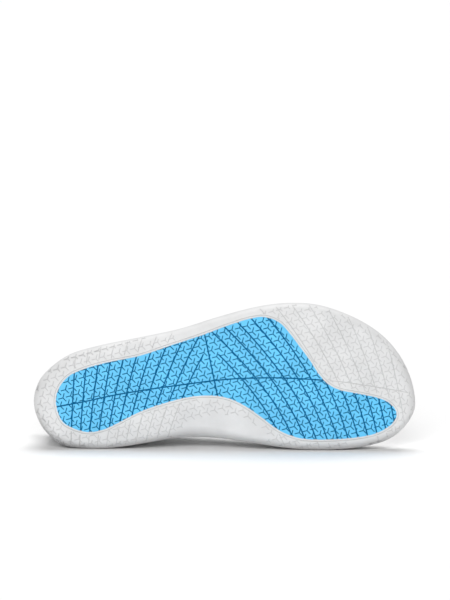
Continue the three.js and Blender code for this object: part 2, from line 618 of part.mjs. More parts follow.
const throatStart = throat.back - 2 * throat.halfTop; // the slot runs out into the ankle opening
const throatSlot = prism(ridgeBand(throatStart, throat.tip, throatHalf(throatStart), throat.halfTip), tongueFloor, overAll);
const ankleCut = topLineCutter();
const eyeletHoles = makeEyeletHoles();
const innerForm = form(wallAt);
const underfoot = prism(grown(planCurve(soleEdge, 32), -(cupWall + gap + lastingMargin)), -5, 24);
const upper = form(0).subtract(innerForm).subtract(throatSlot).subtract(ankleCut).subtract(eyeletHoles).subtract(
  underfoot.intersect(treadLayer(-5, baseThickness + gap + upperWall + 1)));

const eyestayPlan = prism(ridgeBand(throatStart, throat.tip + eyestayWidth, throat.halfTop + eyestayWidth,
  throat.halfTip + 0.85 * eyestayWidth), tongueFloor, overAll);
const eyestay = form(-gap - eyestayThickness).subtract(form(-gap)).intersect(eyestayPlan).subtract(throatSlot)
  .subtract(ankleCut).subtract(eyeletHoles);

const tonguePlan = prism(ridgeBand(tongueShape.back, tongueShape.root, tongueShape.halfTop, tongueShape.halfRoot),
  tongueFloor, overAll);
const insideInset = (s, p) => wallAt(s, p) + gap;
const tongue = form(insideInset).subtract(form((s, p) => insideInset(s, p) + tongueThickness)).intersect(tonguePlan)
  .subtract(makeTongueCut());

const insoleTop = baseThickness + 2 * gap + upperWall + insoleThickness;
const plug = prism(grown(planCurve(soleEdge, 32), -(cupWall + gap + lastingMargin + gap)), -5, 24);
const insole = form(insideInset).add(plug.intersect(treadLayer(baseThickness + 2 * gap, insoleTop - 1)))
  .intersect(treadLayer(baseThickness + gap + gap, insoleTop));

const whiteRubber = new THREE.MeshStandardMaterial({ color: 0xe9e9e8, roughness: 0.62, metalness: 0 });
const blueRubber = new THREE.MeshStandardMaterial({ color: 0x4fb6ea, roughness: 0.5, metalness: 0 });
const whiteMesh = new THREE.MeshStandardMaterial({ color: 0xeceded, roughness: 0.9, metalness: 0 });
const paleFilm = new THREE.MeshStandardMaterial({ color: 0xe2e4e5, roughness: 0.55, metalness: 0 });
const greyFoam = new THREE.MeshStandardMaterial({ color: 0xcfd3d6, roughness: 0.95, metalness: 0 });
const laceCord = new THREE.MeshStandardMaterial({ color: 0xf2f2f1, roughness: 0.85, metalness: 0 });

function mesh(name, body, material) {
  const { vertProperties, triVerts } = body.getMesh();
  const geometry = new THREE.BufferGeometry();
  geometry.setAttribute("position", new THREE.BufferAttribute(vertProperties, 3));
  geometry.setIndex(new THREE.BufferAttribute(triVerts, 1));
  geometry.computeVertexNormals();
  const piece = new THREE.Mesh(geometry, material);
  piece.name = name;
  return piece;
}

const shoe = new THREE.Group();
shoe.add(
  mesh("outsole", outsole, whiteRubber),
  mesh("tread_inlay", inlay, blueRubber),
  mesh("upper", upper, whiteMesh),
  mesh("insole", insole, greyFoam),
  mesh("tongue", tongue, whiteMesh),
  mesh("eyestay", eyestay, paleFilm),
  mesh("lace", makeLace(), laceCord),
  mesh("heel_loop", makeHeelLoop(), laceCord),
);

// Turns the shoe onto its inner side. The sole's edge touches the floor at heel and ball, and the shoe leans over
// that line until the upper touches too, as any shoe does that is laid down.
function layOnInnerSide(group) {
  const points = group.children.flatMap((piece) => {
    const at = piece.geometry.attributes.position;
    return Array.from({ length: at.count }, (_, i) => new THREE.Vector3().fromBufferAttribute(at, i));
  });
  const middle = soleLength / 2;
  const ball = points.reduce((best, p) => (p.x > middle && p.y > best.y ? p : best), new THREE.Vector3(middle, -1e3, 0));
  const behind = (p) => Math.atan2(ball.y - p.y, ball.x - p.x);
  const heel = points.filter((p) => p.x < middle).reduce((best, p) => (behind(p) < behind(best) ? p : best));
  const forward = ball.clone().sub(heel).normalize();
  const down = new THREE.Vector3(-forward.y, forward.x, 0).normalize();
  const rising = new THREE.Vector3().crossVectors(forward, down).normalize();
  const lean = Math.min(...points.map((p) => {
    const offset = p.clone().sub(ball);
    const height = offset.dot(rising);
    return height > 8 ? Math.atan2(-offset.dot(down), height) : Math.PI;
  }));
  down.multiplyScalar(Math.cos(lean)).addScaledVector(rising, Math.sin(lean));
  const up = down.clone().negate();
  const away = new THREE.Vector3().crossVectors(up, forward);
  group.quaternion.setFromRotationMatrix(new THREE.Matrix4().makeBasis(forward, away, up).transpose());
  group.updateMatrixWorld(true);
  const box = new THREE.Box3().setFromPoints(points.map((p) => p.clone().applyMatrix4(group.matrixWorld)));
  group.position.set(-(box.min.x + box.max.x) / 2, -(box.min.y + box.max.y) / 2, -box.min.z);
}
layOnInnerSide(shoe);

const part = new THREE.Group();
part.add(shoe);
export default part;
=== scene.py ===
"""A barefoot training shoe for the right foot, lying on its inner side with its sole to the camera.

The pieces are shaped in the shoe's own axes, in millimetres: x from heel to toe, y to the inner side, z up
from the ground that it would walk on. TO_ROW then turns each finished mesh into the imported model's frame.
"""
import json
import math
from collections import namedtuple
from itertools import accumulate

import bmesh
import bpy
from mathutils import Matrix, Vector


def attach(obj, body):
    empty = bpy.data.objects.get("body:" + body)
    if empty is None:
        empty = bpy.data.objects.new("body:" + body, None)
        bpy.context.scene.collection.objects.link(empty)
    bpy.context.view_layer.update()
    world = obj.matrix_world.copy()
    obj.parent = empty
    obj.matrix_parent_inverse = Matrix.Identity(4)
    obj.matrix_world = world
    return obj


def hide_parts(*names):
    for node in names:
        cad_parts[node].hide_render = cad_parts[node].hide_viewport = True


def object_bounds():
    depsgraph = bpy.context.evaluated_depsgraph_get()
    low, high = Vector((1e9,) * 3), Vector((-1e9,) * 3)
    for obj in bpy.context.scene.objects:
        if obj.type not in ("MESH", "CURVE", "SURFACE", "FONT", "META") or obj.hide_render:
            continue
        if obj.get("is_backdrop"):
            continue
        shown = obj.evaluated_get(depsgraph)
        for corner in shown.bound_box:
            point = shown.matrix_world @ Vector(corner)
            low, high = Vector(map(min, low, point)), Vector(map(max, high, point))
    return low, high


bl_info = {
    "name": "Barefoot Training Shoe",
    "version": (1, 0, 0),
    "blender": (4, 5, 0),
    "location": "3D View > Sidebar > Shoe",
    "description": "Models a low barefoot shoe with a patterned rubber sole and a knitted upper",
    "category": "Add Mesh",
}

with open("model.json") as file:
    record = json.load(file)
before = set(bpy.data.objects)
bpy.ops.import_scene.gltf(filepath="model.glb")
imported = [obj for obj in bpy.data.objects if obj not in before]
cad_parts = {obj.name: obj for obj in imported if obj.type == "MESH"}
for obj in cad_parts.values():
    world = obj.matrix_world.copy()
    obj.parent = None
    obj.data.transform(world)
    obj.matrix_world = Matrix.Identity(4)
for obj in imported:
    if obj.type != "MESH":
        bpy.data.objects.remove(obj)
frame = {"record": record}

# The two flat spots under the heel and the ball tie the shoe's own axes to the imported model.
HEEL_SPOT = Vector((45.5, 5, -0.3))
BALL_SPOT = Vector((190, -25, -0.3))


def shoe_to_row():
    """Matrix from the shoe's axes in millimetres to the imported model's frame in metres."""
    mounts = {m["name"]: m for m in frame["record"]["mounts"]}
    heel, ball = (Vector(mounts[name]["pos_m"]) for name in ("heel_tread", "ball_tread"))
    up = -Vector(mounts["heel_tread"]["axis"]).normalized()
    run = ball - heel
    scale = run.length / (BALL_SPOT - HEEL_SPOT).length
    run -= up * run.dot(up)
    run.normalize()
    turn = math.atan2(BALL_SPOT.y - HEEL_SPOT.y, BALL_SPOT.x - HEEL_SPOT.x)
    forward = Matrix.Rotation(-turn, 3, up) @ run
    inward = up.cross(forward)
    turned = Matrix((forward, inward, up)).transposed()
    origin = heel - turned @ (HEEL_SPOT * scale)
    return Matrix.Translation(origin) @ turned.to_4x4() @ Matrix.Scale(scale, 4)


TO_ROW = shoe_to_row()

# Sizes of the last and the sole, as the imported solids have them
SOLE_LENGTH = 284
BALL_WIDTH = 108.5
TOE_SPRING = 9
TOE_SPRING_START = 0.72
HEEL_SPRING = 3
HEEL_SPRING_END = 0.09
ARCH_RISE = 7
ARCH_MIDDLE = 0.44
ARCH_REACH = 0.16
BASE = 3.5  # rubber under the foot
CUP_WALL = 2.4
CUP_RIM = 1.2
RIM = {"side": 12.5, "toe": 7, "heel": 8, "arch": 3}
EDGE_ROUND = {"side": 6, "heel": 10, "arch": 11, "toe": 8}
RIM_LINE = {"below": 3.4, "depth": 0.45}
INLAY_DEPTH = 1.6
INLAY_PROUD = 0.3
GAP = 0.3
UPPER_WALL = 2
HEEL_ROLL = 33
BUSY_PLAN = (94, 106)  # x of the ends of the stretch where the throat meets the ankle
THROAT_BACK, THROAT_LOW = 73, 30  # the throat's cut starts in front of the one and above the other
KNIT_LEVEL = 132  # behind here the knit's rows run level with the sole
COLLAR_WALL = 5.5
COLLAR_PAD_DEPTH = 24
COLLAR_PAD_END = 0.22
UPPER_CORNER = 5
LASTING_MARGIN = 11
INSOLE = 3
TOP_LINE_TILT = 0.06
HEEL_X = 0.135 * SOLE_LENGTH
TOE_X = 0.8 * SOLE_LENGTH
THROAT = {"back": 99, "tip": 178, "half_top": 13, "half_tip": 8.5}

# Plan outlines: along is a share of the sole's length, across of the ball width, inner side +.
SOLE_EDGE = [
    (0.001, -0.01), (0.015, -0.124), (0.042, -0.206), (0.094, -0.301), (0.173, -0.363), (0.277, -0.418),
    (0.382, -0.477), (0.487, -0.562), (0.592, -0.632), (0.669, -0.654), (0.749, -0.638), (0.854, -0.535),
    (0.926, -0.4), (0.972, -0.235), (0.996, -0.055), (0.998, 0.075), (0.97, 0.2), (0.926, 0.285),
    (0.852, 0.335), (0.757, 0.352), (0.664, 0.34), (0.574, 0.305), (0.475, 0.272), (0.38, 0.268),
    (0.304, 0.3), (0.218, 0.335), (0.141, 0.342), (0.077, 0.317), (0.03, 0.224), (0.004, 0.093),
]
INLAY_EDGE = [
    (0.06, 0.02), (0.068, -0.069), (0.094, -0.151), (0.133, -0.199), (0.199, -0.247), (0.277, -0.288),
    (0.356, -0.357), (0.435, -0.425), (0.513, -0.5), (0.565, -0.542), (0.597, -0.555), (0.623, -0.542),
    (0.647, -0.507), (0.67, -0.439), (0.696, -0.349), (0.723, -0.253), (0.749, -0.151), (0.775, -0.086),
    (0.801, -0.055), (0.854, -0.028), (0.906, 0.004), (0.932, 0.038), (0.948, 0.096), (0.945, 0.144),
    (0.927, 0.192), (0.893, 0.237), (0.84, 0.264), (0.762, 0.277), (0.696, 0.267), (0.644, 0.216),
    (0.592, 0.116), (0.547, 0.038), (0.508, -0.006), (0.461, -0.024), (0.408, -0.014), (0.343, 0.028),
    (0.277, 0.089), (0.225, 0.158), (0.186, 0.206), (0.146, 0.226), (0.107, 0.202), (0.076, 0.151),
]
MIDDLE_LINE = [
    (0, 0.083), (0.062, 0.055), (0.135, 0.02), (0.21, -0.023), (0.373, -0.089), (0.539, -0.137),
    (0.62, -0.142), (0.775, -0.122), (0.907, -0.074), (1, -0.03),
]
# Cross-sections of the last, by share of the length
Section = namedtuple("Section", "along ridge lean square taper")
SECTIONS = [
    Section(0, 124, 0, 5, 0.24), Section(0.135, 124, 0, 5, 0.24), Section(0.24, 124, 1, 3.4, 0.22),
    Section(0.275, 114, 2, 2.7, 0.2), Section(0.315, 99, 3, 2.2, 0.16), Section(0.36, 87, 4, 2, 0.1),
    Section(0.42, 77, 5, 2, 0.04), Section(0.52, 65, 6.5, 2, 0), Section(0.62, 54, 8, 2.1, 0),
    Section(0.72, 45.5, 8, 2.25, 0), Section(0.8, 41, 7, 2.5, 0),
]
TOP_LINE = [
    (-0.05, 79), (0.03, 78), (0.08, 71), (0.15, 61.5), (0.21, 58), (0.27, 62), (0.32, 72), (0.35, 83),
    (0.37, 97),
]
HEEL_CURVE = [(0, -1.5), (0.12, 1), (0.3, -1), (0.48, -6.5), (0.62, -6), (1, -6)]

# Flex grooves fan out from the waist: place, slope and bend change along the sole.
GrooveFan = namedtuple("GrooveFan", "count first pitch growth slope turn bend shortest")
HEEL_FAN = GrooveFan(11, 29.2, 7.44, 0.115, -0.051, -0.0048, 0.0082, 10)
TOE_FAN = GrooveFan(13, 154.3, 10.9, -0.0966, 0.87, -0.0057, 0.0105, 0)
WAIST_GROOVE = {"x": 127.3, "slope": 0.21}
WAIST_REACH = 33


def clamp(value, low=0.0, high=1.0):
    return min(high, max(low, value))


def smooth(value):
    value = clamp(value)
    return value * value * (3 - 2 * value)


def follow(rows, at):
    """Value at a place in a table of (place, value) rows, on a smooth curve that doesn't overshoot them."""
    if at <= rows[0][0]:
        return rows[0][1]
    if at >= rows[-1][0]:
        return rows[-1][1]
    slopes = [(b[1] - a[1]) / (b[0] - a[0]) for a, b in zip(rows, rows[1:])]

    def tangent(i):
        if i == 0 or i == len(slopes):
            return slopes[min(i, len(slopes) - 1)]
        a, b = slopes[i - 1], slopes[i]
        return 0 if a * b <= 0 else 2 * a * b / (a + b)

    i = next(k for k in range(len(slopes)) if at < rows[k + 1][0])
    span = rows[i + 1][0] - rows[i][0]
    t = (at - rows[i][0]) / span
    start, end = rows[i][1], rows[i + 1][1]
    return ((2 * t**3 - 3 * t**2 + 1) * start + (t**3 - 2 * t**2 + t) * tangent(i) * span
            + (3 * t**2 - 2 * t**3) * end + (t**3 - t**2) * tangent(i + 1) * span)


def running(points):
    """Length of a path up to each of its points."""
    return list(accumulate(((b - a).length for a, b in zip(points, points[1:])), initial=0))


def resampled(points, count):
    """Points along a path at even steps, each with its direction."""
    lengths = running(points)
    found, k = [], 0
    for i in range(count + 1):
        target = min(lengths[-1] - 1e-6, lengths[-1] * i / count)
        while lengths[k + 1] < target:
            k += 1
        t = (target - lengths[k]) / (lengths[k + 1] - lengths[k])
        found.append((points[k].lerp(points[k + 1], t), (points[k + 1] - points[k]).normalized()))
    return found


def plan_curve(rows, count):
    """Closed smooth plan curve through a table of shares, as points evenly spaced along it."""
    points = [Vector((along * SOLE_LENGTH, across * BALL_WIDTH)) for along, across in rows]
    dense = []
    n = len(points)
    for i in range(n):
        p0, p1, p2, p3 = (points[(i + k) % n] for k in (-1, 0, 1, 2))
        d1, d2, d3 = (max(1e-6, (b - a).length) ** 0.5 for a, b in ((p0, p1), (p1, p2), (p2, p3)))
        m1 = ((p1 - p0) / d1 - (p2 - p0) / (d1 + d2) + (p2 - p1) / d2) * d2
        m2 = ((p2 - p1) / d2 - (p3 - p1) / (d2 + d3) + (p3 - p2) / d3) * d2
        for k in range(24):
            t = k / 24
            dense.append(p1 * (2 * t**3 - 3 * t**2 + 1) + m1 * (t**3 - 2 * t**2 + t)
                         + p2 * (3 * t**2 - 2 * t**3) + m2 * (t**3 - t**2))
    return [p for p, _ in resampled(dense + dense[:1], count)[:-1]]


EDGE = plan_curve(SOLE_EDGE, 480)
EDGE_PAIRS = list(zip(EDGE, EDGE[1:] + EDGE[:1]))


def middle_y(x):
    return follow(MIDDLE_LINE, x / SOLE_LENGTH) * BALL_WIDTH


def section(x):
    along = x / SOLE_LENGTH
    return Section(along, *(follow([(row.along, row[k]) for row in SECTIONS], along) for k in range(1, 5)))


def ridge_y(x):
    return middle_y(x) + section(x).lean


def reach(x, y, dx, dy):
    """Distance in plan from a point to the sole's edge along a direction."""
    best = 0
    for a, b in EDGE_PAIRS:
        ex, ey = b.x - a.x, b.y - a.y
        det = ex * dy - dx * ey
        if abs(det) < 1e-9:
            continue
        r = (ex * (a.y - y) - ey * (a.x - x)) / det
        s = (dx * (a.y - y) - dy * (a.x - x)) / det
        if -1e-6 <= s <= 1 + 1e-6 and r > best:
            best = r
    return best


def tread_height(x, y):
    """Height of the tread over the ground: toe spring, heel bevel and raised arch."""
    along = x / SOLE_LENGTH
    toe = TOE_SPRING * clamp((along - TOE_SPRING_START) / (1 - TOE_SPRING_START)) ** 2
    heel = HEEL_SPRING * clamp((HEEL_SPRING_END - along) / HEEL_SPRING_END) ** 2
    across = smooth((y - middle_y(x) - 0.08 * BALL_WIDTH) / (0.3 * BALL_WIDTH))
    lengthwise = smooth(1 - abs(along - ARCH_MIDDLE) / ARCH_REACH)
    return toe + heel + ARCH_RISE * across * lengthwise


class Station:
    """A half-plane that stands on the middle line and points outwards, with the last's profile in it."""

    def __init__(self, x, angle):
        self.x, self.y = x, middle_y(x)
        self.dx, self.dy = math.cos(angle), math.sin(angle)
        self.radius = reach(self.x, self.y, self.dx, self.dy)
        self.shape = section(x)
        side = smooth(1 - abs(x / SOLE_LENGTH - ARCH_MIDDLE) / ARCH_REACH)
        self.arch = side if self.dy > 0.5 else 0
        self.toeward, self.heelward = max(0, self.dx), max(0, -self.dx)

    def place(self, r, z, lean=0):
        return Vector((self.x + self.dx * r, self.y + self.dy * r + lean, z))

    def tread(self, r):
        r = min(r, self.radius)
        return tread_height(self.x + self.dx * r, self.y + self.dy * r)

    def rounding(self):
        return (EDGE_ROUND["side"] + (EDGE_ROUND["heel"] - EDGE_ROUND["side"]) * self.heelward
                + (EDGE_ROUND["toe"] - EDGE_ROUND["side"]) * self.toeward
                + (EDGE_ROUND["arch"] - EDGE_ROUND["side"]) * self.arch)

    def rim(self):
        return (RIM["side"] + RIM["toe"] * self.toeward**2 + RIM["heel"] * self.heelward**2
                + RIM["arch"] * self.arch)

    def profile(self, inset=0.0, arc=40):
        """Points (r, z, lean, up) of the last from under the foot to its ridge; inset moves them inward."""
        shape = self.shape
        edge = self.radius - CUP_WALL - GAP
        start = self.tread(edge) + BASE + GAP + UPPER_CORNER
        raw = [((edge - UPPER_CORNER) * k / 6, self.tread((edge - UPPER_CORNER) * k / 6) + BASE + GAP, 0)
               for k in range(6)]
        for turn in (0, 15, 30, 45, 60, 75):
            a = math.radians(turn)
            raw.append((edge - UPPER_CORNER * (1 - math.sin(a)), start - UPPER_CORNER * math.cos(a), 0))
        fall = (section(TOE_X).ridge - section(TOE_X - 10).ridge) / 10
        for k in range(arc + 1):
            up = math.sin(math.pi / 2 * k / arc)
            width = max(0, 1 - up**shape.square) ** (1 / shape.square)
            back = follow(HEEL_CURVE, up) * self.heelward * min(1, width * 1.6)
            r = edge * (1 - shape.taper * up * (1 - self.heelward)) * width + back
            raw.append((r, start + (shape.ridge - start) * up + self.toeward * r * fall * up, up))
        points = []
        for i, (r, z, up) in enumerate(raw):
            a, b = raw[max(0, i - 1)], raw[min(len(raw) - 1, i + 1)]
            normal = Vector((b[1] - a[1], a[0] - b[0])).normalized()
            if i in (0, len(raw) - 1):
                normal = Vector((0, -1 if i == 0 else 1))
            depth = inset(self, z, up) if callable(inset) else inset
            points.append((max(0, r - normal.x * depth), z - normal.y * depth, shape.lean * up**1.5, up))
        return points


def side_places(step):
    """Places of the side stations along the shoe."""
    count = round((TOE_X - HEEL_X) / step)
    return [HEEL_X + (TOE_X - HEEL_X) * i / count for i in range(count + 1)]


def make_stations(step=3.0, toe=40, heel=36, places=None):
    """Stations round the shoe, from the heel along the inner side, round the toe and back."""
    places = places or side_places(step)
    quarter = math.pi / 2
    ring = [Station(x, quarter) for x in places[:-1]]
    ring += [Station(TOE_X, quarter - math.pi * i / toe) for i in range(toe + 1)]
    ring += [Station(x, -quarter) for x in reversed(places[:-1])]
    ring += [Station(HEEL_X, -quarter - math.pi * i / heel) for i in range(1, heel)]
    return ring


# Mesh helpers


def mesh_from(name, bm):
    """New mesh from a finished bmesh, which it frees."""
    mesh = bpy.data.meshes.new(name)
    bm.to_mesh(mesh)
    bm.free()
    return mesh


def add_object(name, data):
    thing = bpy.data.objects.new(name, data)
    bpy.context.scene.collection.objects.link(thing)
    return thing


def finished(name, bm, materials):
    """Object from a closed mesh in the shoe's axes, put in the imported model's frame and riding on it."""
    bmesh.ops.recalc_face_normals(bm, faces=bm.faces)
    mesh = mesh_from(name, bm)
    mesh.transform(TO_ROW)
    for vertex in mesh.vertices:
        vertex.co.z = max(vertex.co.z, 0)  # what lies on the floor is flat there
    for material in materials:
        mesh.materials.append(material)
    mesh.shade_smooth()
    piece = add_object(name, mesh)
    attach(piece, "root")
    return piece


def grid(bm, columns, rows, place, uv=None):
    """Grid of faces moved to place(column, row), with UVs in millimetres from uv(column, row)."""
    layer = bm.loops.layers.uv.verify()
    verts = bmesh.ops.create_grid(bm, x_segments=columns, y_segments=rows, size=1)["verts"]
    index = {}
    for v in verts:
        index[v] = (round((v.co.x + 1) / 2 * columns), round((v.co.y + 1) / 2 * rows))
        v.co = place(*index[v])
    faces = {f for v in verts for f in v.link_faces}
    for face in faces:
        for loop in face.loops:
            i, j = index[loop.vert]
            loop[layer].uv = uv(i, j) if uv else (i, j)
    return verts, faces


def flat_section(j, rows, ends, faces):
    """Shares of half the width and half the thickness round a flat section; a small power squares it off."""
    a = math.tau * j / rows
    c, k = math.cos(a), math.sin(a)
    return math.copysign(abs(c) ** ends, c), math.copysign(abs(k) ** faces, k)


def close(bm, dist, verts=None):
    """Welds the seam of a surface and closes its open ends."""
    bmesh.ops.remove_doubles(bm, verts=verts or bm.verts, dist=dist)
    bmesh.ops.holes_fill(bm, edges=[e for e in bm.edges if e.is_boundary], sides=0)


def outline_prism(bm, outline, low, high):
    """Upright prism over a plan outline; low and high are heights or functions of x and y."""
    made = bmesh.ops.create_circle(bm, cap_ends=True, cap_tris=False, segments=len(outline), radius=1)
    verts = made["verts"]
    verts.sort(key=lambda v: math.atan2(v.co.y, v.co.x) % math.tau)
    lowest = low if callable(low) else lambda x, y: low
    highest = high if callable(high) else lambda x, y: high
    for v, p in zip(verts, outline):
        v.co = (p[0], p[1], lowest(p[0], p[1]))
    faces = list({f for v in verts for f in v.link_faces})
    raised = bmesh.ops.extrude_face_region(bm, geom=faces)["geom"]
    for v in raised:
        if isinstance(v, bmesh.types.BMVert):
            v.co.z = highest(v.co.x, v.co.y)


def grown(outline, distance):
    """Plan outline moved outwards."""
    n = len(outline)
    area = sum(a.x * b.y - b.x * a.y for a, b in zip(outline, outline[1:] + outline[:1]))
    side = math.copysign(distance, area)
    moved = []
    for i, p in enumerate(outline):
        along = (outline[(i + 1) % n] - outline[i - 1]).normalized()
        moved.append(Vector((p.x + along.y * side, p.y - along.x * side)))
    return moved


def cut(piece, bm, operation="DIFFERENCE", index=None):
    """Cuts a closed piece with a closed shape; the faces it leaves take a material index or the shape's."""
    bmesh.ops.recalc_face_normals(bm, faces=bm.faces)
    for face in bm.faces:
        face.smooth = True
        if index is not None:
            face.material_index = index
    mesh = mesh_from("cutter", bm)
    mesh.transform(TO_ROW)
    cutter = add_object("cutter", mesh)
    modifier = piece.modifiers.new("cut", "BOOLEAN")
    modifier.object, modifier.operation, modifier.solver = cutter, operation, "MANIFOLD"
    made = bpy.data.meshes.new_from_object(piece.evaluated_get(bpy.context.evaluated_depsgraph_get()))
    if not made.polygons:
        raise RuntimeError(f"the cut left nothing of {piece.name}")
    piece.modifiers.remove(modifier)
    old, piece.data = piece.data, made
    name = old.name
    bpy.data.meshes.remove(old)
    made.name = name
    bpy.data.objects.remove(cutter)
    bpy.data.meshes.remove(mesh)


def drop_flakes(piece):
    """Takes out loose pairs of faces that lie back to back on the same corners, where two cuts just meet."""
    bm = bmesh.new()
    bm.from_mesh(piece.data)
    seen, flakes = {}, []
    for face in bm.faces:
        corners = frozenset(face.verts)
        if corners in seen:
            flakes += [seen[corners], face]
        seen[corners] = face
    bmesh.ops.delete(bm, geom=flakes, context="FACES")
    bm.to_mesh(piece.data)
    bm.free()


# Shaders


class Value:
    """A value in a shader; Python's operators add its Math nodes."""

    def __init__(self, shader, socket):
        self.shader, self.socket = shader, socket

    def math(self, operation, *others):
        inputs = dict(enumerate((self, *others)))
        return self.shader.node("ShaderNodeMath", inputs, operation=operation)

    def __add__(self, other):
        return self.math("ADD", other)

    def __sub__(self, other):
        return self.math("SUBTRACT", other)

    def __rsub__(self, other):
        return self.shader.node("ShaderNodeMath", {0: other, 1: self}, operation="SUBTRACT")

    def __mul__(self, other):
        return self.math("MULTIPLY", other)

    def __pow__(self, other):
        return self.math("POWER", other)

    __radd__, __rmul__ = __add__, __mul__

    def between(self, low, high):
        """0 below low and 1 above high, with a soft step between."""
        inputs = dict(enumerate((self, low, high, 0, 1)))
        return self.shader.node("ShaderNodeMapRange", inputs, interpolation_type="SMOOTHSTEP")


class Shader:
    """A Principled material and a short way to add nodes to it."""

    def __init__(self, name, colour, roughness, **constants):
        self.material = bpy.data.materials.new(name)
        self.material.use_nodes = True
        self.tree = self.material.node_tree
        self.surface = self.tree.nodes["Principled BSDF"]
        self.material.diffuse_color = (*colour, 1)
        self.set("Base Color", (*colour, 1))
        self.set("Roughness", roughness)
        for name, value in constants.items():
            self.set(name.replace("_", " ").title().replace("Ior", "IOR"), value)

    def plug(self, socket, value):
        if isinstance(value, Value):
            self.tree.links.new(value.socket, socket)
        else:
            socket.default_value = value

    def set(self, name, value):
        self.plug(self.surface.inputs[name], value)

    def node(self, kind, inputs, out=0, **settings):
        """Output of a new node, whose settings are made before its sockets get their values or links."""
        node = self.tree.nodes.new(kind)
        for key, value in settings.items():
            setattr(node, key, value)
        for socket, value in inputs.items():
            self.plug(node.inputs[socket], value)
        return Value(self, node.outputs[out])

    def place(self):
        """Object coordinates in metres."""
        return self.node("ShaderNodeTexCoord", {}, out="Object")

    def laid_flat(self):
        """The piece's own UVs in millimetres, as two values."""
        uv = self.node("ShaderNodeTexCoord", {}, out="UV")
        split = self.node("ShaderNodeSeparateXYZ", {0: uv})
        return split, Value(self, split.socket.node.outputs[1])

    def noise(self, place, scale, detail=2.0):
        return self.node("ShaderNodeTexNoise", {"Vector": place, "Scale": scale, "Detail": detail})

    def mix(self, mask, low, high):
        """Colour that goes from low to high with the mask."""
        return self.node("ShaderNodeMix", {"Factor": mask, 6: low, 7: high}, out=2, data_type="RGBA")

    def vector(self, operation, first, second):
        """Number from two vectors, such as their distance or dot product."""
        return self.node("ShaderNodeVectorMath", {0: first, 1: second}, out="Value", operation=operation)

    def bump(self, height, strength, distance, under=None):
        inputs = {"Strength": strength, "Distance": distance, "Height": height}
        return self.node("ShaderNodeBump", {**inputs, "Normal": under} if under else inputs)


def rgba(colour, share=1.0):
    """Colour darkened to a share of itself."""
    return (colour[0] * share, colour[1] * share, colour[2] * share, 1)


def rubber_material(name, colour, roughness, mottle=0.06, shine=0.5, painted_shade=0.0):
    """Moulded rubber: fine matt grain, faint mottling, and painted shade on faces turned to the inner side
    and on the rounded heel edge near the inner corner, broken up there by noise.
    """
    shader = Shader(name, colour, roughness, coat_roughness=0.35, specular_ior_level=shine)
    place = shader.place()
    cloud = shader.noise(place, 60, detail=3)
    grain = shader.noise(place, 2200, detail=2)
    clean = shader.mix(cloud.between(0.3, 0.75), rgba(colour, 1 - mottle), rgba(colour, 1 + mottle / 2))
    if painted_shade:
        # Painted shade: the shoe lies on its inner side, so faces turned that way face the floor and are
        # darkened; the rounded heel edge near the inner corner is darkened too, broken up by noise.
        normal = shader.node("ShaderNodeNewGeometry", {}, out="Normal")
        inner = shader.vector("DOT_PRODUCT", normal, row_direction(0, 1, 0)).between(0.12, 0.85)
        turned = 1 - shader.vector("DOT_PRODUCT", normal, row_direction(0, 0, -1)).between(0.35, 0.97)
        away = shader.vector("DISTANCE", place, row_point(*HEEL_SHADE["centre"]))
        heel = 1 - away.between(*HEEL_SHADE["fade"])
        shade_noise = shader.noise(place, 900, detail=4).between(0.3, 0.75)
        # Painted shade on the faces turned to the inner side, then on the heel's rounded inner edge
        inner_side_shade = shader.mix(inner * painted_shade * 0.3, clean, rgba(colour, 0.5))
        clean = shader.mix(turned * heel * (0.4 + 0.6 * shade_noise) * painted_shade, inner_side_shade, rgba(colour, 0.45))
    shader.set("Base Color", clean)
    shader.set("Roughness", roughness + (cloud - 0.5) * 0.2)
    shader.set("Coat Weight", shine * 0.25 * cloud.between(0.35, 0.7))
    relief = shader.bump(grain, 0.25, 0.0001)
    shader.set("Normal", shader.bump(shader.noise(place, 420, detail=3), 0.25, 0.0003, relief))
    return shader.material


# Sole


def cup_profile(station):
    """Closed profile of the rubber cup: under the foot, up the wall, over the rim and down inside."""
    flat = station.radius - station.rounding()
    points = [(flat * k / 12, station.tread(flat * k / 12), 0) for k in range(12)]
    widest = station.tread(station.radius) + BASE + GAP + UPPER_CORNER
    for k in range(9):
        a = math.pi / 2 * k / 8
        rise = (widest - station.tread(flat)) * (1 - math.cos(a))
        points.append((flat + station.rounding() * math.sin(a), station.tread(flat) + rise, 0))

    outside = station.profile(lambda s, z, up: -(GAP + CUP_RIM + (CUP_WALL - CUP_RIM) * clamp(1 - up * 3)))
    inside = station.profile(-GAP)
    top = station.tread(station.radius) + station.rim()
    line = top - RIM_LINE["below"]
    points += [at_height(outside, widest + (line - 0.7 - widest) * k / 4) for k in range(1, 5)]
    for rise, sink in ((-0.35, 1), (0.35, 1), (0.7, 0)):
        r, z, lean = at_height(outside, line + rise)
        points.append((r - RIM_LINE["depth"] * sink, z, lean))
    points.append(at_height(outside, top - 0.6))
    outer, inner = at_height(outside, top), at_height(inside, top)
    for share, drop in ((0.12, 0.2), (0.38, 0.02), (0.7, 0.02), (0.95, 0.25)):
        points.append((outer[0] + (inner[0] - outer[0]) * share, top - drop, outer[2]))
    start = inside[11][1]
    points += [at_height(inside, top - 0.6 + (start - top + 0.6) * k / 4) for k in range(5)]
    points += [(p[0], p[1], 0) for p in reversed(inside[:11])]
    return points


def at_height(profile, z):
    """Point where the wall of a profile reaches a height."""
    wall = profile[11:]
    k = next(i for i in range(1, len(wall)) if wall[i][1] >= z or i == len(wall) - 1)
    a, b = wall[k - 1], wall[k]
    t = (z - a[1]) / (b[1] - a[1])
    return tuple(a[i] + (b[i] - a[i]) * t for i in range(3))


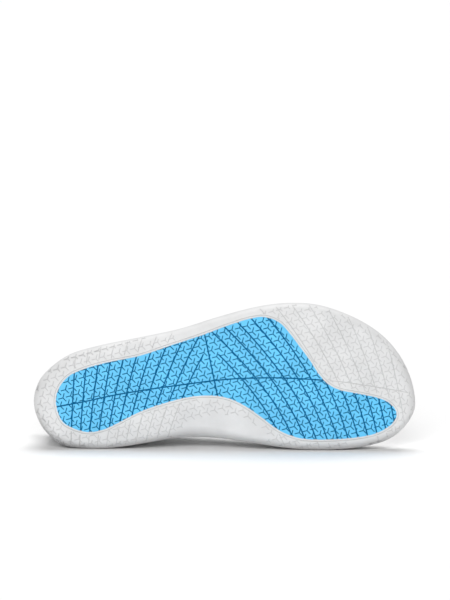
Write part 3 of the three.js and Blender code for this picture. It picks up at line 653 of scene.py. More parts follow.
def loft(bm, stations, profile_of):
    """Closed surface round the shoe from one profile for each station."""
    rings = [[s.place(*p[:3]) for p in profile_of(s)] for s in stations]
    grid(bm, len(rings), len(rings[0]) - 1, lambda i, j: rings[i % len(rings)][j])
    bmesh.ops.remove_doubles(bm, verts=bm.verts, dist=1e-4)
    bmesh.ops.dissolve_degenerate(bm, edges=bm.edges, dist=1e-5)


def tread_layer(bm, stations, low, high):
    """Layer that follows the tread, between two heights over it."""

    def profile(s):
        radii = [s.radius * k / 16 for k in range(17)]
        under = [(r, s.tread(r) + low, 0) for r in radii]
        return under + [(r, s.tread(r) + high, 0) for r in reversed(radii)]

    loft(bm, stations, profile)


class Underside:
    """Height of the rubber's underside over plan places, its rounded edge included."""

    def __init__(self):
        self.stations = {}

    def station(self, x, y):
        """Station that a plan place belongs to, and the place's distance from its centre."""
        centre = clamp(x, HEEL_X, TOE_X)
        middle = middle_y(centre)
        angle = math.atan2(y - middle, x - centre)
        key = (round(centre), round(math.degrees(angle)))
        if key not in self.stations:
            self.stations[key] = Station(centre, angle)
        return self.stations[key], math.hypot(x - centre, y - middle)

    def margin(self, x, y):
        station, r = self.station(x, y)
        return station.radius - r

    def height(self, x, y):
        station, r = self.station(x, y)
        flat = station.radius - station.rounding()
        if r <= flat:
            return station.tread(r)
        widest = station.tread(station.radius) + BASE + GAP + UPPER_CORNER
        share = clamp((r - flat) / station.rounding(), 0, 0.995)
        return station.tread(flat) + (widest - station.tread(flat)) * (1 - math.sqrt(1 - share * share))


UNDERSIDE = Underside()


FLEX_REACH = (-0.66, 0.36)  # ends of the flex grooves' paths, as shares of the ball's width
WAIST_RUN = (-0.5, 0.6)  # start and length of the waist groove's path, likewise


def groove_paths(fan, steps=14):
    """Plan paths of one fan of flex grooves."""
    paths = []
    for i in range(fan.count):
        x = fan.first + fan.pitch * i + fan.growth * i * i
        slope = fan.slope + fan.turn * (x - fan.first)
        middle = middle_y(x)
        start = -WAIST_REACH if i == fan.shortest else FLEX_REACH[0] * BALL_WIDTH
        path = []
        for k in range(steps + 1):
            y = start + (FLEX_REACH[1] * BALL_WIDTH - start) * k / steps
            path.append(Vector((x + slope * (y - middle) * (1 - fan.bend * (y - middle) / 2), y)))
        paths.append(path)
    return paths


def waist_path():
    ys = [BALL_WIDTH * (WAIST_RUN[0] + WAIST_RUN[1] * k / 8) for k in range(9)]
    return [Vector((WAIST_GROOVE["x"] + WAIST_GROOVE["slope"] * (y + 0.43 * BALL_WIDTH), y)) for y in ys]


def long_path(start=0.04, end=0.985, steps=60):
    xs = [SOLE_LENGTH * (start + (end - start) * k / steps) for k in range(steps + 1)]
    return [Vector((x, middle_y(x))) for x in xs]


def inside_plan(p, outline):
    """Whether a plan point lies in a closed outline."""
    inside = False
    for a, b in zip(outline, outline[1:] + outline[:1]):
        if (a.y > p.y) != (b.y > p.y) and p.x < a.x + (b.x - a.x) * (p.y - a.y) / (b.y - a.y):
            inside = not inside
    return inside


def groove_cutter(bm, path, width, depth, height=tread_height, lip=0.08, closed=False):
    """Closed cutter along a plan path; the groove's lips are bevelled and keep the colour of the face."""
    half = width / 2
    section = [(-width * 0.3, depth), (width * 0.3, depth), (half, lip * 0.8), (half + lip, 0),
               (half + lip * 2, -0.9), (-half - lip * 2, -0.9), (-half - lip, 0), (-half, lip * 0.8)]
    bevels = ((2, 3), (6, 7))
    n = len(section)

    def place(i, j):
        if closed:
            a, b = path[(i - 1) % len(path)], path[(i + 1) % len(path)]
        else:
            a, b = path[max(0, i - 1)], path[min(len(path) - 1, i + 1)]
        along = (b - a).normalized()
        out, rise = section[j % n]
        p = path[i % len(path)]
        return Vector((p.x - along.y * out, p.y + along.x * out, height(p.x, p.y) + rise))

    verts, faces = grid(bm, len(path) if closed else len(path) - 1, n, place)
    layer = bm.loops.layers.uv.verify()
    for face in faces:
        sides = [round(loop[layer].uv.y) for loop in face.loops]
        # Walls and floors take the second material, a darker rubber: painted shade in the groove
        face.material_index = 0 if (min(sides), max(sides)) in bevels else 1
    close(bm, 1e-5, verts)


# Centre of the painted shade on the heel's rounded inner corner, in the shoe's millimetres, and the
# distances over which it fades, in metres
HEEL_SHADE = {"centre": (15, 34, 6), "fade": (0.012, 0.034)}
ROUGH_HEEL = 80  # x behind which the sipes widen and deepen
ROUGH_EDGE = 11  # distance from the edge within which they do

# Three-armed sipes stand in a hexagonal lattice, turned on the sole.
SIPE_STEP_A = Vector((5.70, -1.53))
SIPE_STEP_B = Vector((-1.86, 6.10))
SIPE_START = Vector((164.4, -55.5))
SIPE_ARMS = [math.radians(turn) for turn in (-75, -195, -315)]


def sipe_places(keep):
    """Middles of the sipes that a test keeps."""
    places = []
    for i in range(-60, 60):
        for j in range(-60, 60):
            p = SIPE_START + SIPE_STEP_A * i + SIPE_STEP_B * j
            if 0 < p.x < SOLE_LENGTH and abs(p.y) < BALL_WIDTH and keep(p):
                places.append(p)
    return places


def sipe_cutter(bm, p, longest, width, depth, height, keep=None):
    """Closed three-armed cutter that follows the slope of the sole; an arm ends where a test says so."""
    z = height(p.x, p.y)
    dx = (height(p.x + 1.5, p.y) - height(p.x - 1.5, p.y)) / 3
    dy = (height(p.x, p.y + 1.5) - height(p.x, p.y - 1.5)) / 3
    h = width / 2
    inner = h / math.sin(math.pi / 3)
    outline = []
    for turn in reversed(SIPE_ARMS):
        along, aside = Vector((math.cos(turn), math.sin(turn))), Vector((-math.sin(turn), math.cos(turn)))
        arm = longest
        while keep and arm > width * 1.5 and not keep(p + along * arm):
            arm -= 0.3
        outline.append(p + along * arm - aside * h)
        outline.append(p + along * (arm + h * 0.6))
        outline.append(p + along * arm + aside * h)
        corner = turn + math.pi / 3
        outline.append(p + Vector((math.cos(corner), math.sin(corner))) * inner)

    def at(offset):
        return lambda x, y: z + dx * (x - p.x) + dy * (y - p.y) + offset

    outline_prism(bm, outline, at(-0.8), at(depth))


SMOOTH_ARCH = {"x": 139, "y": 34, "long": 34, "wide": 22}  # oval under the arch without any pattern
SMOOTH_WAIST = (108, 163)  # x of the plain stretch of the outer edge
PLAIN_EDGE = 1.2
LIP = {"inner": 1.7, "outer": 2.6, "depth": 0.35}  # grooves on both sides of the raised lip round the inlay
FLEX_LINE = {"width": 0.5, "depth": 0.4}
WHITE_SIPE = {"arm": 3.3, "width": 0.6, "depth": 0.35}
ROUGH_SIPE = {"width": 0.3, "depth": 0.5, "fade": 50}  # added to the sipes at the heel's edge
BLUE_SIPE = {"arm": 3.45, "width": 0.7, "depth": 0.7}


def white_pattern(p):
    """Whether the white rubber has a pattern at a plan place; it is smooth under the arch and the waist."""
    oval = SMOOTH_ARCH
    if ((p.x - oval["x"]) / oval["long"]) ** 2 + ((p.y - oval["y"]) / oval["wide"]) ** 2 < 1:
        return False
    if SMOOTH_WAIST[0] < p.x < SMOOTH_WAIST[1] and p.y < middle_y(p.x):
        return False
    return UNDERSIDE.margin(p.x, p.y) > PLAIN_EDGE


def runs(path, keep):
    """Stretches of a path whose points a test keeps."""
    found, run = [], []
    for p in path + [None]:
        if p is not None and keep(p):
            run.append(p)
        else:
            if len(run) > 3:
                found.append(run)
            run = []
    return found


def build_sole(settings):
    white = rubber_material("white_rubber", settings.white, 0.6, painted_shade=1.0)
    # A darker copy of the white rubber for the walls and floors of the recess, grooves and sipes: painted
    # shade in the hollows
    shade = rubber_material("white_rubber_groove_shade", rgba(settings.white, 0.82)[:3], 0.7, painted_shade=0.8)
    stations = make_stations(step=3.5, toe=44, heel=40)
    bm = bmesh.new()
    loft(bm, stations, cup_profile)
    sole = finished("sole_cup", bm, [white, shade])
    inlay = plan_curve(INLAY_EDGE, 220)

    bm = bmesh.new()
    tread_layer(bm, stations, -8, INLAY_DEPTH + GAP)
    recess = finished("recess", bm, [])
    bm = bmesh.new()
    outline_prism(bm, grown(inlay, GAP), -20, 40)
    cut(recess, bm, "INTERSECT", index=1)
    bm = bmesh.new()
    bm.from_mesh(recess.data)
    bm.transform(TO_ROW.inverted())
    bpy.data.objects.remove(recess)
    cut(sole, bm, index=1)

    bm = bmesh.new()
    groove_cutter(bm, grown(inlay, LIP["inner"]), FLEX_LINE["width"], LIP["depth"], closed=True)
    cut(sole, bm)

    lip = grown(inlay, LIP["outer"])
    open_white = lambda p: white_pattern(p) and not inside_plan(p, lip)
    for paths in (groove_paths(HEEL_FAN, 90), groove_paths(TOE_FAN, 90), [long_path(0.03, 0.98, 120)]):
        bm = bmesh.new()
        for path in paths:
            for run in runs(path, open_white):
                groove_cutter(bm, run, FLEX_LINE["width"], FLEX_LINE["depth"], UNDERSIDE.height)
        cut(sole, bm)
    bm = bmesh.new()
    for p in sipe_places(open_white):
        rough = smooth(1 - UNDERSIDE.margin(p.x, p.y) / ROUGH_EDGE)
        rough *= smooth((ROUGH_HEEL - p.x) / ROUGH_SIPE["fade"])
        width, depth = (WHITE_SIPE[key] + ROUGH_SIPE[key] * rough for key in ("width", "depth"))
        sipe_cutter(bm, p, WHITE_SIPE["arm"], width, depth, UNDERSIDE.height, open_white)
    cut(sole, bm, index=1)
    sole.data.set_sharp_from_angle(angle=math.radians(32))
    drop_flakes(sole)
    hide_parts("outsole")


def build_inlay(settings):
    blue = rubber_material("blue_rubber", settings.blue, 0.45, mottle=0.08, shine=0.3)
    # Dark blue for the walls and floors of the grooves and sipes: painted shade in the hollows
    deep = rubber_material("blue_rubber_groove_shade", settings.blue_groove_shade, 0.6, shine=0.08)
    stations = make_stations(step=3.5, toe=44, heel=40)
    bm = bmesh.new()
    tread_layer(bm, stations, -INLAY_PROUD, INLAY_DEPTH)
    inlay = finished("inlay_pad", bm, [blue, deep])

    plan = plan_curve(INLAY_EDGE, 260)
    levels = [(1.6, -1.5), (0.5, -INLAY_PROUD - 0.08), (0.22, -INLAY_PROUD + 0.06),
              (0.05, -INLAY_PROUD + 0.28), (0, 0.4), (0, 8)]
    rings = [grown(plan, -shrink) for shrink, _ in levels]
    bm = bmesh.new()

    def place(i, j):
        p = rings[j][i % len(plan)]
        return Vector((p.x, p.y, tread_height(p.x, p.y) + levels[j][1]))

    grid(bm, len(plan), len(levels) - 1, place)
    close(bm, 1e-5)
    cut(inlay, bm, "INTERSECT")

    face = lambda x, y: tread_height(x, y) - INLAY_PROUD
    for paths in (groove_paths(HEEL_FAN), groove_paths(TOE_FAN), [long_path()], [waist_path()]):
        bm = bmesh.new()
        for path in paths:
            groove_cutter(bm, path, settings.groove_width, settings.groove_depth, face, lip=0.3)
        cut(inlay, bm)
    bm = bmesh.new()
    for p in sipe_places(lambda p: inside_plan(p, grown(plan, 1))):
        sipe_cutter(bm, p, BLUE_SIPE["arm"], BLUE_SIPE["width"], BLUE_SIPE["depth"], face)
    cut(inlay, bm, index=1)
    inlay.data.set_sharp_from_angle(angle=math.radians(30))
    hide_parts("tread_inlay")


# Upper


def top_line(x, y):
    """Height of the ankle's top line over a plan place."""
    return follow(TOP_LINE, x / SOLE_LENGTH) + TOP_LINE_TILT * y


def throat_half(x):
    """Half the width of the throat, in plan; its front end is round."""
    share = (x - THROAT["back"]) / (THROAT["tip"] - THROAT["back"])
    half = THROAT["half_top"] + (THROAT["half_tip"] - THROAT["half_top"]) * share
    end = THROAT["tip"] - THROAT["half_tip"]
    if x > end:
        half *= math.sqrt(max(0, 1 - ((x - end) / THROAT["half_tip"]) ** 2))
    return half


def wall_thickness(x, z):
    """Wall of the upper: thin cloth, padded round the ankle."""
    along = 1 - smooth((x / SOLE_LENGTH - COLLAR_PAD_END) / 0.07)
    near = smooth((z - (follow(TOP_LINE, x / SOLE_LENGTH) - COLLAR_PAD_DEPTH)) / COLLAR_PAD_DEPTH)
    return UPPER_WALL + (COLLAR_WALL - UPPER_WALL) * along * near


class Wall:
    """The last's surface in one station's half-plane, by the distance along it from its turned-in edge."""

    def __init__(self, station, arc=56):
        self.station = station
        self.points = station.profile(0, arc)
        n = len(self.points)
        self.normals, self.lengths = [], [0]
        for i in range(n):
            a, b = self.points[max(0, i - 1)], self.points[min(n - 1, i + 1)]
            normal = Vector((b[1] - a[1], a[0] - b[0])).normalized()
            if i in (0, n - 1):
                normal = Vector((0, -1 if i == 0 else 1))
            self.normals.append(normal)
            if i:
                (r0, z0), (r1, z1) = self.points[i - 1][:2], self.points[i][:2]
                self.lengths.append(self.lengths[-1] + math.hypot(r1 - r0, z1 - z0))
        self.margin = self.lengths[6] - LASTING_MARGIN  # start of the edge turned in under the foot
        self.corner = self.lengths[11]
        self.total = self.lengths[-1]

    def find(self, s):
        s = clamp(s, 0, self.total)
        low, high = 0, len(self.lengths) - 1
        while high - low > 1:
            middle = (low + high) // 2
            low, high = (middle, high) if self.lengths[middle] <= s else (low, middle)
        return low, (s - self.lengths[low]) / (self.lengths[high] - self.lengths[low])

    def at(self, s, out=0.0):
        """Point at a distance along the wall, moved out along its normal."""
        i, t = self.find(s)
        p, q = self.points[i], self.points[i + 1]
        normal = self.normals[i].lerp(self.normals[i + 1], t)
        r, z, lean = (p[k] + (q[k] - p[k]) * t for k in range(3))
        return self.station.place(max(0, r + normal.x * out), z + normal.y * out, lean)

    def opening(self):
        """Distance along the wall where the ankle's top line or the throat cuts it, or its whole length."""

        def open_at(s):
            p = self.at(s)
            if p.z > top_line(p.x, p.y):
                return True
            inside = THROAT_BACK < p.x < THROAT["tip"] and p.z > THROAT_LOW
            return inside and abs(p.y - ridge_y(p.x)) < throat_half(p.x)

        previous = self.corner
        steps = 90
        for k in range(1, steps + 1):
            s = self.corner + (self.total - self.corner) * k / steps
            if open_at(min(s, self.total - 1e-3)):
                low, high = previous, s
                for _ in range(18):
                    middle = (low + high) / 2
                    low, high = (low, middle) if open_at(middle) else (middle, high)
                return low
            previous = s
        return self.total


def upper_places():
    """Places of the upper's side stations, closer at the ends of the throat."""
    end = THROAT["tip"] - THROAT["half_tip"]
    first, last = BUSY_PLAN
    places = [HEEL_X + (first - HEEL_X) * k / 22 for k in range(22)]
    places += range(first, last)
    places += [last + (end - last) * k / 24 for k in range(24)]
    places += [end + THROAT["half_tip"] * math.sin(math.pi / 2 * k / 8) for k in range(8)]
    places += [THROAT["tip"] + (TOE_X - THROAT["tip"]) * k / 18 for k in range(19)]
    return places


def crease(p, centre, along, half, depth):
    """Soft trough with a low ridge on each side, across a line from its centre."""
    offset = Vector((p.x - centre[0], p.y - centre[1], p.z - centre[2]))
    across = offset.dot(along)
    far = (offset - along * across).length
    fade = smooth(1.6 - far / half)
    t = across / 3.2
    return depth * fade * (0.45 * math.exp(-((abs(t) - 1.5) ** 2) * 2) - math.exp(-t * t))


# Flex creases of the upper: centre, direction across the crease, half its length and its depth.
CREASES = [
    ((186, -16, 50), Vector((0.93, -0.3, -0.2)), 26, 1.5),
    ((200, -16, 47), Vector((0.95, -0.25, -0.18)), 24, 1.3),
    ((213, -20, 44), Vector((0.96, -0.2, -0.15)), 17, 0.8),
    ((176, -48, 33), Vector((0.9, -0.2, 0.35)), 17, 1.1),
    ((190, 24, 30), Vector((0.92, 0.25, 0.3)), 14, 0.9),
    ((84, 26, 48), Vector((0.75, 0, 0.66)), 15, 1.0),
    ((82, -34, 46), Vector((0.75, 0, 0.66)), 15, 1.2),
    ((104, -38, 50), Vector((0.85, 0, 0.5)), 14, 0.9),
    ((16, 8, 52), Vector((0.25, 0, 0.97)), 16, 0.9),
]


COLLAR = {"depth": 20, "binding": 3, "taper": 58, "taper_length": 34, "bulge": 1.5, "seam": 0.9}


def collar_depth(x):
    """Depth of the smooth cloth round the ankle; towards the throat it narrows to a binding."""
    share = 1 - smooth((x - COLLAR["taper"]) / COLLAR["taper_length"])
    return COLLAR["binding"] + (COLLAR["depth"] - COLLAR["binding"]) * share


def upper_relief(p, s, end):
    """How far the upper's outside stands off the last: creases, the back seam, the ankle's pad and seam."""
    out = sum(crease(p, *row) for row in CREASES)
    below, depth = end - s, collar_depth(p.x)
    pad = smooth((depth - 6) / 10)
    out += COLLAR["bulge"] * pad * smooth((depth - below) / 9) * smooth(below / 5)
    out -= COLLAR["seam"] * smooth((depth - 3.5) / 3) * math.exp(-(((below - depth) / 0.9) ** 2))
    if p.x < HEEL_X and below > depth:
        out -= 0.5 * math.exp(-(((p.y - middle_y(HEEL_X)) / 1.2) ** 2))
    return out


def build_upper(settings):
    knit = mesh_cloth_material("white_knit", settings.knit)
    lining = lining_material("lining_cloth", settings.lining)
    ring = make_stations(toe=36, heel=44, places=upper_places())
    walls = [Wall(station) for station in ring]
    ends = [wall.opening() for wall in walls]
    n = len(walls)
    rows, seam_row = 46, 36

    def outside(i, s):
        wall = walls[i % n]
        p = wall.at(s)
        return wall.at(s, upper_relief(p, s, ends[i % n]))

    def inside(i, s):
        wall = walls[i % n]
        p = wall.at(s)
        return wall.at(s, -wall_thickness(p.x, p.z))

    def spaced(i, j):
        """Distance along a column's wall of a row; the rows crowd towards the collar's seam."""
        wall, end = walls[i % n], ends[i % n]
        seam = end - collar_depth(wall.at(end).x)
        if j <= seam_row:
            return wall.margin + (seam - wall.margin) * (1 - (1 - j / seam_row) ** 1.35)
        stop = end - (0 if closes(i) else rim_radius(i) * 0.8)
        return seam + (stop - seam) * ((j - seam_row) / (rows - seam_row)) ** 1.25

    def closes(i):
        return ends[i % n] >= walls[i % n].total - 1e-2

    def rim_radius(i):
        p = walls[i % n].at(ends[i % n])
        return wall_thickness(p.x, p.z) / 2

    level = {}
    for inner in (False, True):
        sides = [k for k in range(n) if abs(ring[k].dy) > 0.999 and (ring[k].dy > 0) == inner]
        level[inner] = walls[min(sides, key=lambda k: abs(ring[k].x - KNIT_LEVEL))].total

    def unrolled(i, j):
        """Place of the cloth laid flat: down both sides from the ridge, fanned round toe and heel."""
        station = ring[i % n]
        total = walls[i % n].total if station.x > KNIT_LEVEL else level[station.dy > 0]
        down = total - spaced(i, j)
        if station.dx < -1e-6:
            beyond = math.atan2(-station.dx, abs(station.dy))
            return station.x - HEEL_ROLL * beyond, math.copysign(down, station.dy)
        return station.x + station.dx * down, station.dy * down

    bm = bmesh.new()
    verts, outer_faces = grid(bm, n, rows, lambda i, j: outside(i, spaced(i, j)), unrolled)
    collar = {v for k, v in enumerate(verts) if k // (n + 1) >= seam_row - 4 and not closes(k % (n + 1))}
    _, inner_faces = grid(bm, n, rows, lambda i, j: inside(i, spaced(i, j)), unrolled)
    layer = bm.loops.layers.uv.verify()
    for face in outer_faces | inner_faces:
        centre = face.calc_center_median()
        for loop in face.loops:
            uv = loop[layer].uv
            if centre.x < HEEL_X and uv.x < HEEL_X - HEEL_ROLL:
                uv.y = math.copysign(uv.y, centre.y - middle_y(HEEL_X))
    # The rim runs round the ankle and down both sides of the throat.
    tip = next(i for i in range(n) if closes(i))
    back = next(i for i in range(n - 1, -1, -1) if closes(i))
    order = [(i % n) for i in range(back + 1, back + 1 + n) if not closes(i % n)]
    tip_column = tip if abs(ring[tip].x - THROAT["tip"]) < 1e-6 else None
    loop = order + ([tip_column] if tip_column is not None else [])
    tops = [outside(i, spaced(i, rows)) for i in loop]
    unders = [inside(i, spaced(i, rows)) for i in loop]
    m = len(loop)

    def rim(i, j):
        i %= m
        top, under = tops[i], unders[i]
        if j in (0, 8):
            return top if j == 0 else under
        along = (tops[(i + 1) % m] - tops[i - 1]).normalized()
        middle, half = (top + under) / 2, (top - under) / 2
        out = along.cross(half).normalized()
        inward = walls[loop[i]].at(walls[loop[i]].corner + 20) - middle
        if out.dot(inward) > 0:
            out = -out
        a = math.pi * j / 8
        return middle + half * math.cos(a) + out * half.length * math.sin(a)

    _, rim_faces = grid(bm, m, 8, rim)
    _, bottom_faces = grid(bm, n, 1, lambda i, j: (outside if j == 0 else inside)(i, spaced(i, 0)))
    collar_faces = {f for f in outer_faces if collar.issuperset(f.verts)}
    for face in inner_faces | bottom_faces | rim_faces | collar_faces:
        face.material_index = 1
    bmesh.ops.remove_doubles(bm, verts=bm.verts, dist=2e-3)
    bmesh.ops.dissolve_degenerate(bm, edges=bm.edges, dist=1e-4)
    upper = finished("knit_upper", bm, [knit, lining])
    punch_eyelets(upper)
    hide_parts("upper")

    bm = bmesh.new()
    ankle = [i for i in range(-n // 2, n // 2) if not closes(i % n) and walls[i % n].at(ends[i % n]).x < 93]
    seam = [(i % n, ends[i % n] - collar_depth(walls[i % n].at(ends[i % n]).x) - 1.9) for i in ankle]
    stitch_row(bm, [outside(i, s) for i, s in seam], pitch=2.8, length=2.0)
    for side in (-1, 1):
        wall = Wall(Station(HEEL_X, math.pi + side * 0.075))
        seat = [wall.corner + 12 + k * 2 for k in range(14)]
        stitch_row(bm, [wall.at(s, 0.1) for s in seat], pitch=2.8, length=2.0)
    finished("upper_stitches", bm, [thread_material("upper_thread", settings.thread)])


class Ridge:
    """The last's surface over the instep, by place along the shoe and distance down from its ridge."""

    def __init__(self):
        self.walls = {}

    def wall(self, x, side):
        if (x, side) not in self.walls:
            self.walls[x, side] = Wall(Station(x, side * math.pi / 2))
        return self.walls[x, side]

    def at(self, x, v, out=0.0):
        side, low = (1 if v > 0 else -1), math.floor(x)
        a, b = self.wall(low, side), self.wall(low + 1, side)
        return a.at(a.total - abs(v), out).lerp(b.at(b.total - abs(v), out), x - low)

    def down(self, x, side, plan):
        """Distance down the wall whose plan distance from the ridge is given."""
        low, high = 0.0, 60.0
        for _ in range(20):
            middle = (low + high) / 2
            reached = abs(self.at(x, side * middle).y - ridge_y(x)) > plan
            low, high = (low, middle) if reached else (middle, high)
        return (low + high) / 2

    def normal(self, x, v):
        along = self.at(x + 1, v) - self.at(x - 1, v)
        across = self.at(x, v + 1) - self.at(x, v - 1)
        return along.cross(across).normalized()


RIDGE = Ridge()
EYELETS = {"pairs": 6, "first": 108, "last": 169, "offset": 6.5, "radius": 2.1}
EYESTAY_WIDTH = 15
EYESTAY_TOP = 0.9


def eyelet(row, side):
    """Place along the shoe and distance down from the ridge of an eyelet's middle."""
    x = EYELETS["first"] + (EYELETS["last"] - EYELETS["first"]) * row / (EYELETS["pairs"] - 1)
    return x, side * RIDGE.down(x, side, throat_half(x) + EYELETS["offset"])


def all_eyelets():
    return [eyelet(row, side) for row in range(EYELETS["pairs"]) for side in (-1, 1)]


def eyelet_frame(x, v, out):
    """Matrix that stands a ring or punch on the surface at an eyelet."""
    normal = RIDGE.normal(x, v)
    turned = Vector((0, 0, 1)).rotation_difference(normal).to_matrix().to_4x4()
    return Matrix.Translation(RIDGE.at(x, v, out)) @ turned


def punch_eyelets(piece):
    bm = bmesh.new()
    radius = EYELETS["radius"]
    for x, v in all_eyelets():
        bmesh.ops.create_cone(bm, cap_ends=True, segments=28, radius1=radius, radius2=radius, depth=9,
                              matrix=eyelet_frame(x, v, 0))
    cut(piece, bm, index=0)


def eyestay_paths(steps=44, turn_steps=18):
    """Columns of the band round the throat: each gives a place for a distance w from the throat's edge."""
    end = THROAT["tip"] - THROAT["half_tip"]

    def start_x(side, w):
        low, high = 84.0, 112.0
        for _ in range(18):
            x = (low + high) / 2
            p = RIDGE.at(x, side * (RIDGE.down(x, side, throat_half(x)) + w))
            low, high = (x, high) if p.z > top_line(p.x, p.y) else (low, x)
        return high

    def straight(side, share):
        def column(w):
            first = follow(starts[side], w) + 1.6
            x = first + (end - first) * share
            return x, side * (RIDGE.down(x, side, throat_half(x)) + w)

        return column

    def around(turn):
        def column(w):
            side = 1 if turn < math.pi / 2 else -1
            v = (RIDGE.down(end, side, throat_half(end)) + w) * math.cos(turn)
            return end + (THROAT["half_tip"] + w) * math.sin(turn), v

        return column

    starts = {side: [(w, start_x(side, w)) for w in (0, 4, 8, 12, 16)] for side in (1, -1)}
    return ([straight(1, k / steps) for k in range(steps)]
            + [around(math.pi * k / turn_steps) for k in range(turn_steps + 1)]
            + [straight(-1, 1 - k / steps) for k in range(1, steps + 1)])


def build_eyestay(settings):
    film = film_material("pale_film", settings.film)
    columns = eyestay_paths()
    wide = EYESTAY_WIDTH
    section = [(0.5, 0.02), (0.45, 0.45), (0.7, 0.8)]
    section += [(w, EYESTAY_TOP) for w in (1.3, 2.3, 6.5, 10.5, wide - 2.4, wide - 1.2)]
    section += [(wide - 0.4, 0.75), (wide, 0.4), (wide, 0.02), (10.5, 0.02), (6.5, 0.02)]
    lengths = running([RIDGE.at(*column(wide / 2 - 0.5)) for column in columns])

    def place(i, j):
        w, out = section[j % len(section)]
        return RIDGE.at(*columns[i](w), out)

    bm = bmesh.new()
    grid(bm, len(columns) - 1, len(section), place, lambda i, j: (lengths[i], section[j % len(section)][0]))
    close(bm, 1e-4)
    eyestay = finished("eyestay_film", bm, [film])
    punch_eyelets(eyestay)
    eyestay.data.set_sharp_from_angle(angle=math.radians(40))
    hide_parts("eyestay")

    profile = [(2.0, -1.1), (2.0, 0.15), (2.2, 0.5), (2.65, 0.62), (3.1, 0.45), (3.35, 0.02), (3.2, -0.15),
               (2.3, -0.2)]
    bm = bmesh.new()
    for x, v in all_eyelets():
        frame_at = eyelet_frame(x, v, EYESTAY_TOP)

        def ring(i, j, frame_at=frame_at):
            a = math.tau * i / 28
            r, z = profile[j % len(profile)]
            return frame_at @ Vector((r * math.cos(a), r * math.sin(a), z))

        grid(bm, 28, len(profile), ring)
    bmesh.ops.remove_doubles(bm, verts=bm.verts, dist=1e-4)
    rings = film_material("eyelet_rings", settings.film, share=0.93)
    finished("eyelet_rings", bm, [rings])

    bm = bmesh.new()
    for w in (2.1, wide - 2.0):
        stitch_row(bm, [RIDGE.at(*column(w), EYESTAY_TOP + 0.05) for column in columns])
    finished("eyestay_stitches", bm, [thread_material("white_thread", settings.thread)])


def stitch_row(bm, points, pitch=3.0, length=2.1, thick=0.55):
    """Lockstitches along a path: short rounded threads with their ends sunk in."""
    for p, along in resampled(points, max(1, int(running(points)[-1] / pitch)))[:-1]:
        middle = p + along * pitch / 2
        turned = Vector((1, 0, 0)).rotation_difference(along).to_matrix().to_4x4()
        scale = Matrix.Diagonal((length / 2, thick / 2, thick / 2, 1))
        place = Matrix.Translation(middle) @ turned @ scale @ Matrix.Rotation(math.pi / 2, 4, "Y")
        bmesh.ops.create_uvsphere(bm, u_segments=6, v_segments=5, radius=1, matrix=place)


# x of the free end and of the root, half width, radius of the free corners, run that narrows to the root
TONGUE = {"first": 85.0, "root": 189.0, "half": 18, "corner": 9.0, "taper": 14}


def build_tongue(settings):
    cloth = lining_material("tongue_cloth", settings.tongue)
    first, root = TONGUE["first"], TONGUE["root"]
    corner, taper = TONGUE["corner"], TONGUE["taper"]
    columns, rows = 72, 36

    def place(i, j):
        share = i / columns
        x = first + (root - first) * (0.5 - 0.5 * math.cos(math.pi * share))
        half = TONGUE["half"] - 3 * (x - 72) / 118
        d = (x - first) * 2.2  # the free end stands steep, so a short run is a long way down it
        if d < corner:
            half -= corner * (1 - math.sqrt(1 - (1 - d / corner) ** 2))
        e = root - x
        if e < taper:
            half *= math.sqrt(max(0, 1 - (1 - e / taper) ** 2)) * 0.98 + 0.02
        c, k = flat_section(j, rows, 0.42, 0.6)
        v = half * c
        top = -0.8 - 1.5 * smooth((x - 86) / 8) - 1.15 * smooth((x - 97) / 8)
        low = -6.3 - 0.7 * (1 - smooth((x - 88) / 14))
        end = min(math.sqrt(1 - (1 - min(1, d / 3)) ** 2), math.sqrt(clamp(e / 5)))
        seam = 0.8 * math.exp(-((min(half - abs(v), d) - 4.2) / 0.8) ** 2) if k > 0 else 0
        rise = k * (top - low) / 2 * end
        slope = (RIDGE.at(x + 0.5, 0).z - RIDGE.at(x - 0.5, 0).z) * (1 - smooth((x - 92) / 8))
        out = ((top + low) / 2 + rise - seam * end) / math.hypot(1, slope)
        p = RIDGE.at(x, v, out)
        return Vector((p.x - slope * out, p.y, p.z))

    bm = bmesh.new()
    grid(bm, columns, rows, place, lambda i, j: (i * 1.5, j * 1.2))
    close(bm, 1e-3)
    tongue = finished("padded_tongue", bm, [cloth])
    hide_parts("tongue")


def build_insole(settings):
    cloth = insole_material("insole_cloth", settings.lining)
    ring = make_stations(step=4, toe=36, heel=32)
    low = BASE + 2 * GAP + UPPER_WALL + 0.1
    high = BASE + 2 * GAP + UPPER_WALL + INSOLE

    def profile(s):
        edge = s.radius - CUP_WALL - GAP - 1.5 * s.heelward
        rings = [((edge - 5.6) * k / 8, low) for k in range(9)]
        rings += [(edge - 3.3, low + 0.9), (edge - 2.9, low + 2), (edge - 3.0, high + 0.3),
                  (edge - 3.5, high + 0.7), (edge - 4.3, high + 0.65)]
        rings += [((edge - 4.3) * k / 14, high + 0.65 * (k / 14) ** 4) for k in range(13, -1, -1)]
        return [(r, s.tread(r) + z, 0) for r, z in rings]

    bm = bmesh.new()
    loft(bm, ring, profile)
    layer = bm.loops.layers.uv.verify()
    for face in bm.faces:
        for loop in face.loops:
            loop[layer].uv = (loop.vert.co.x, loop.vert.co.y)
    insole = finished("cloth_insole", bm, [cloth])
    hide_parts("insole")


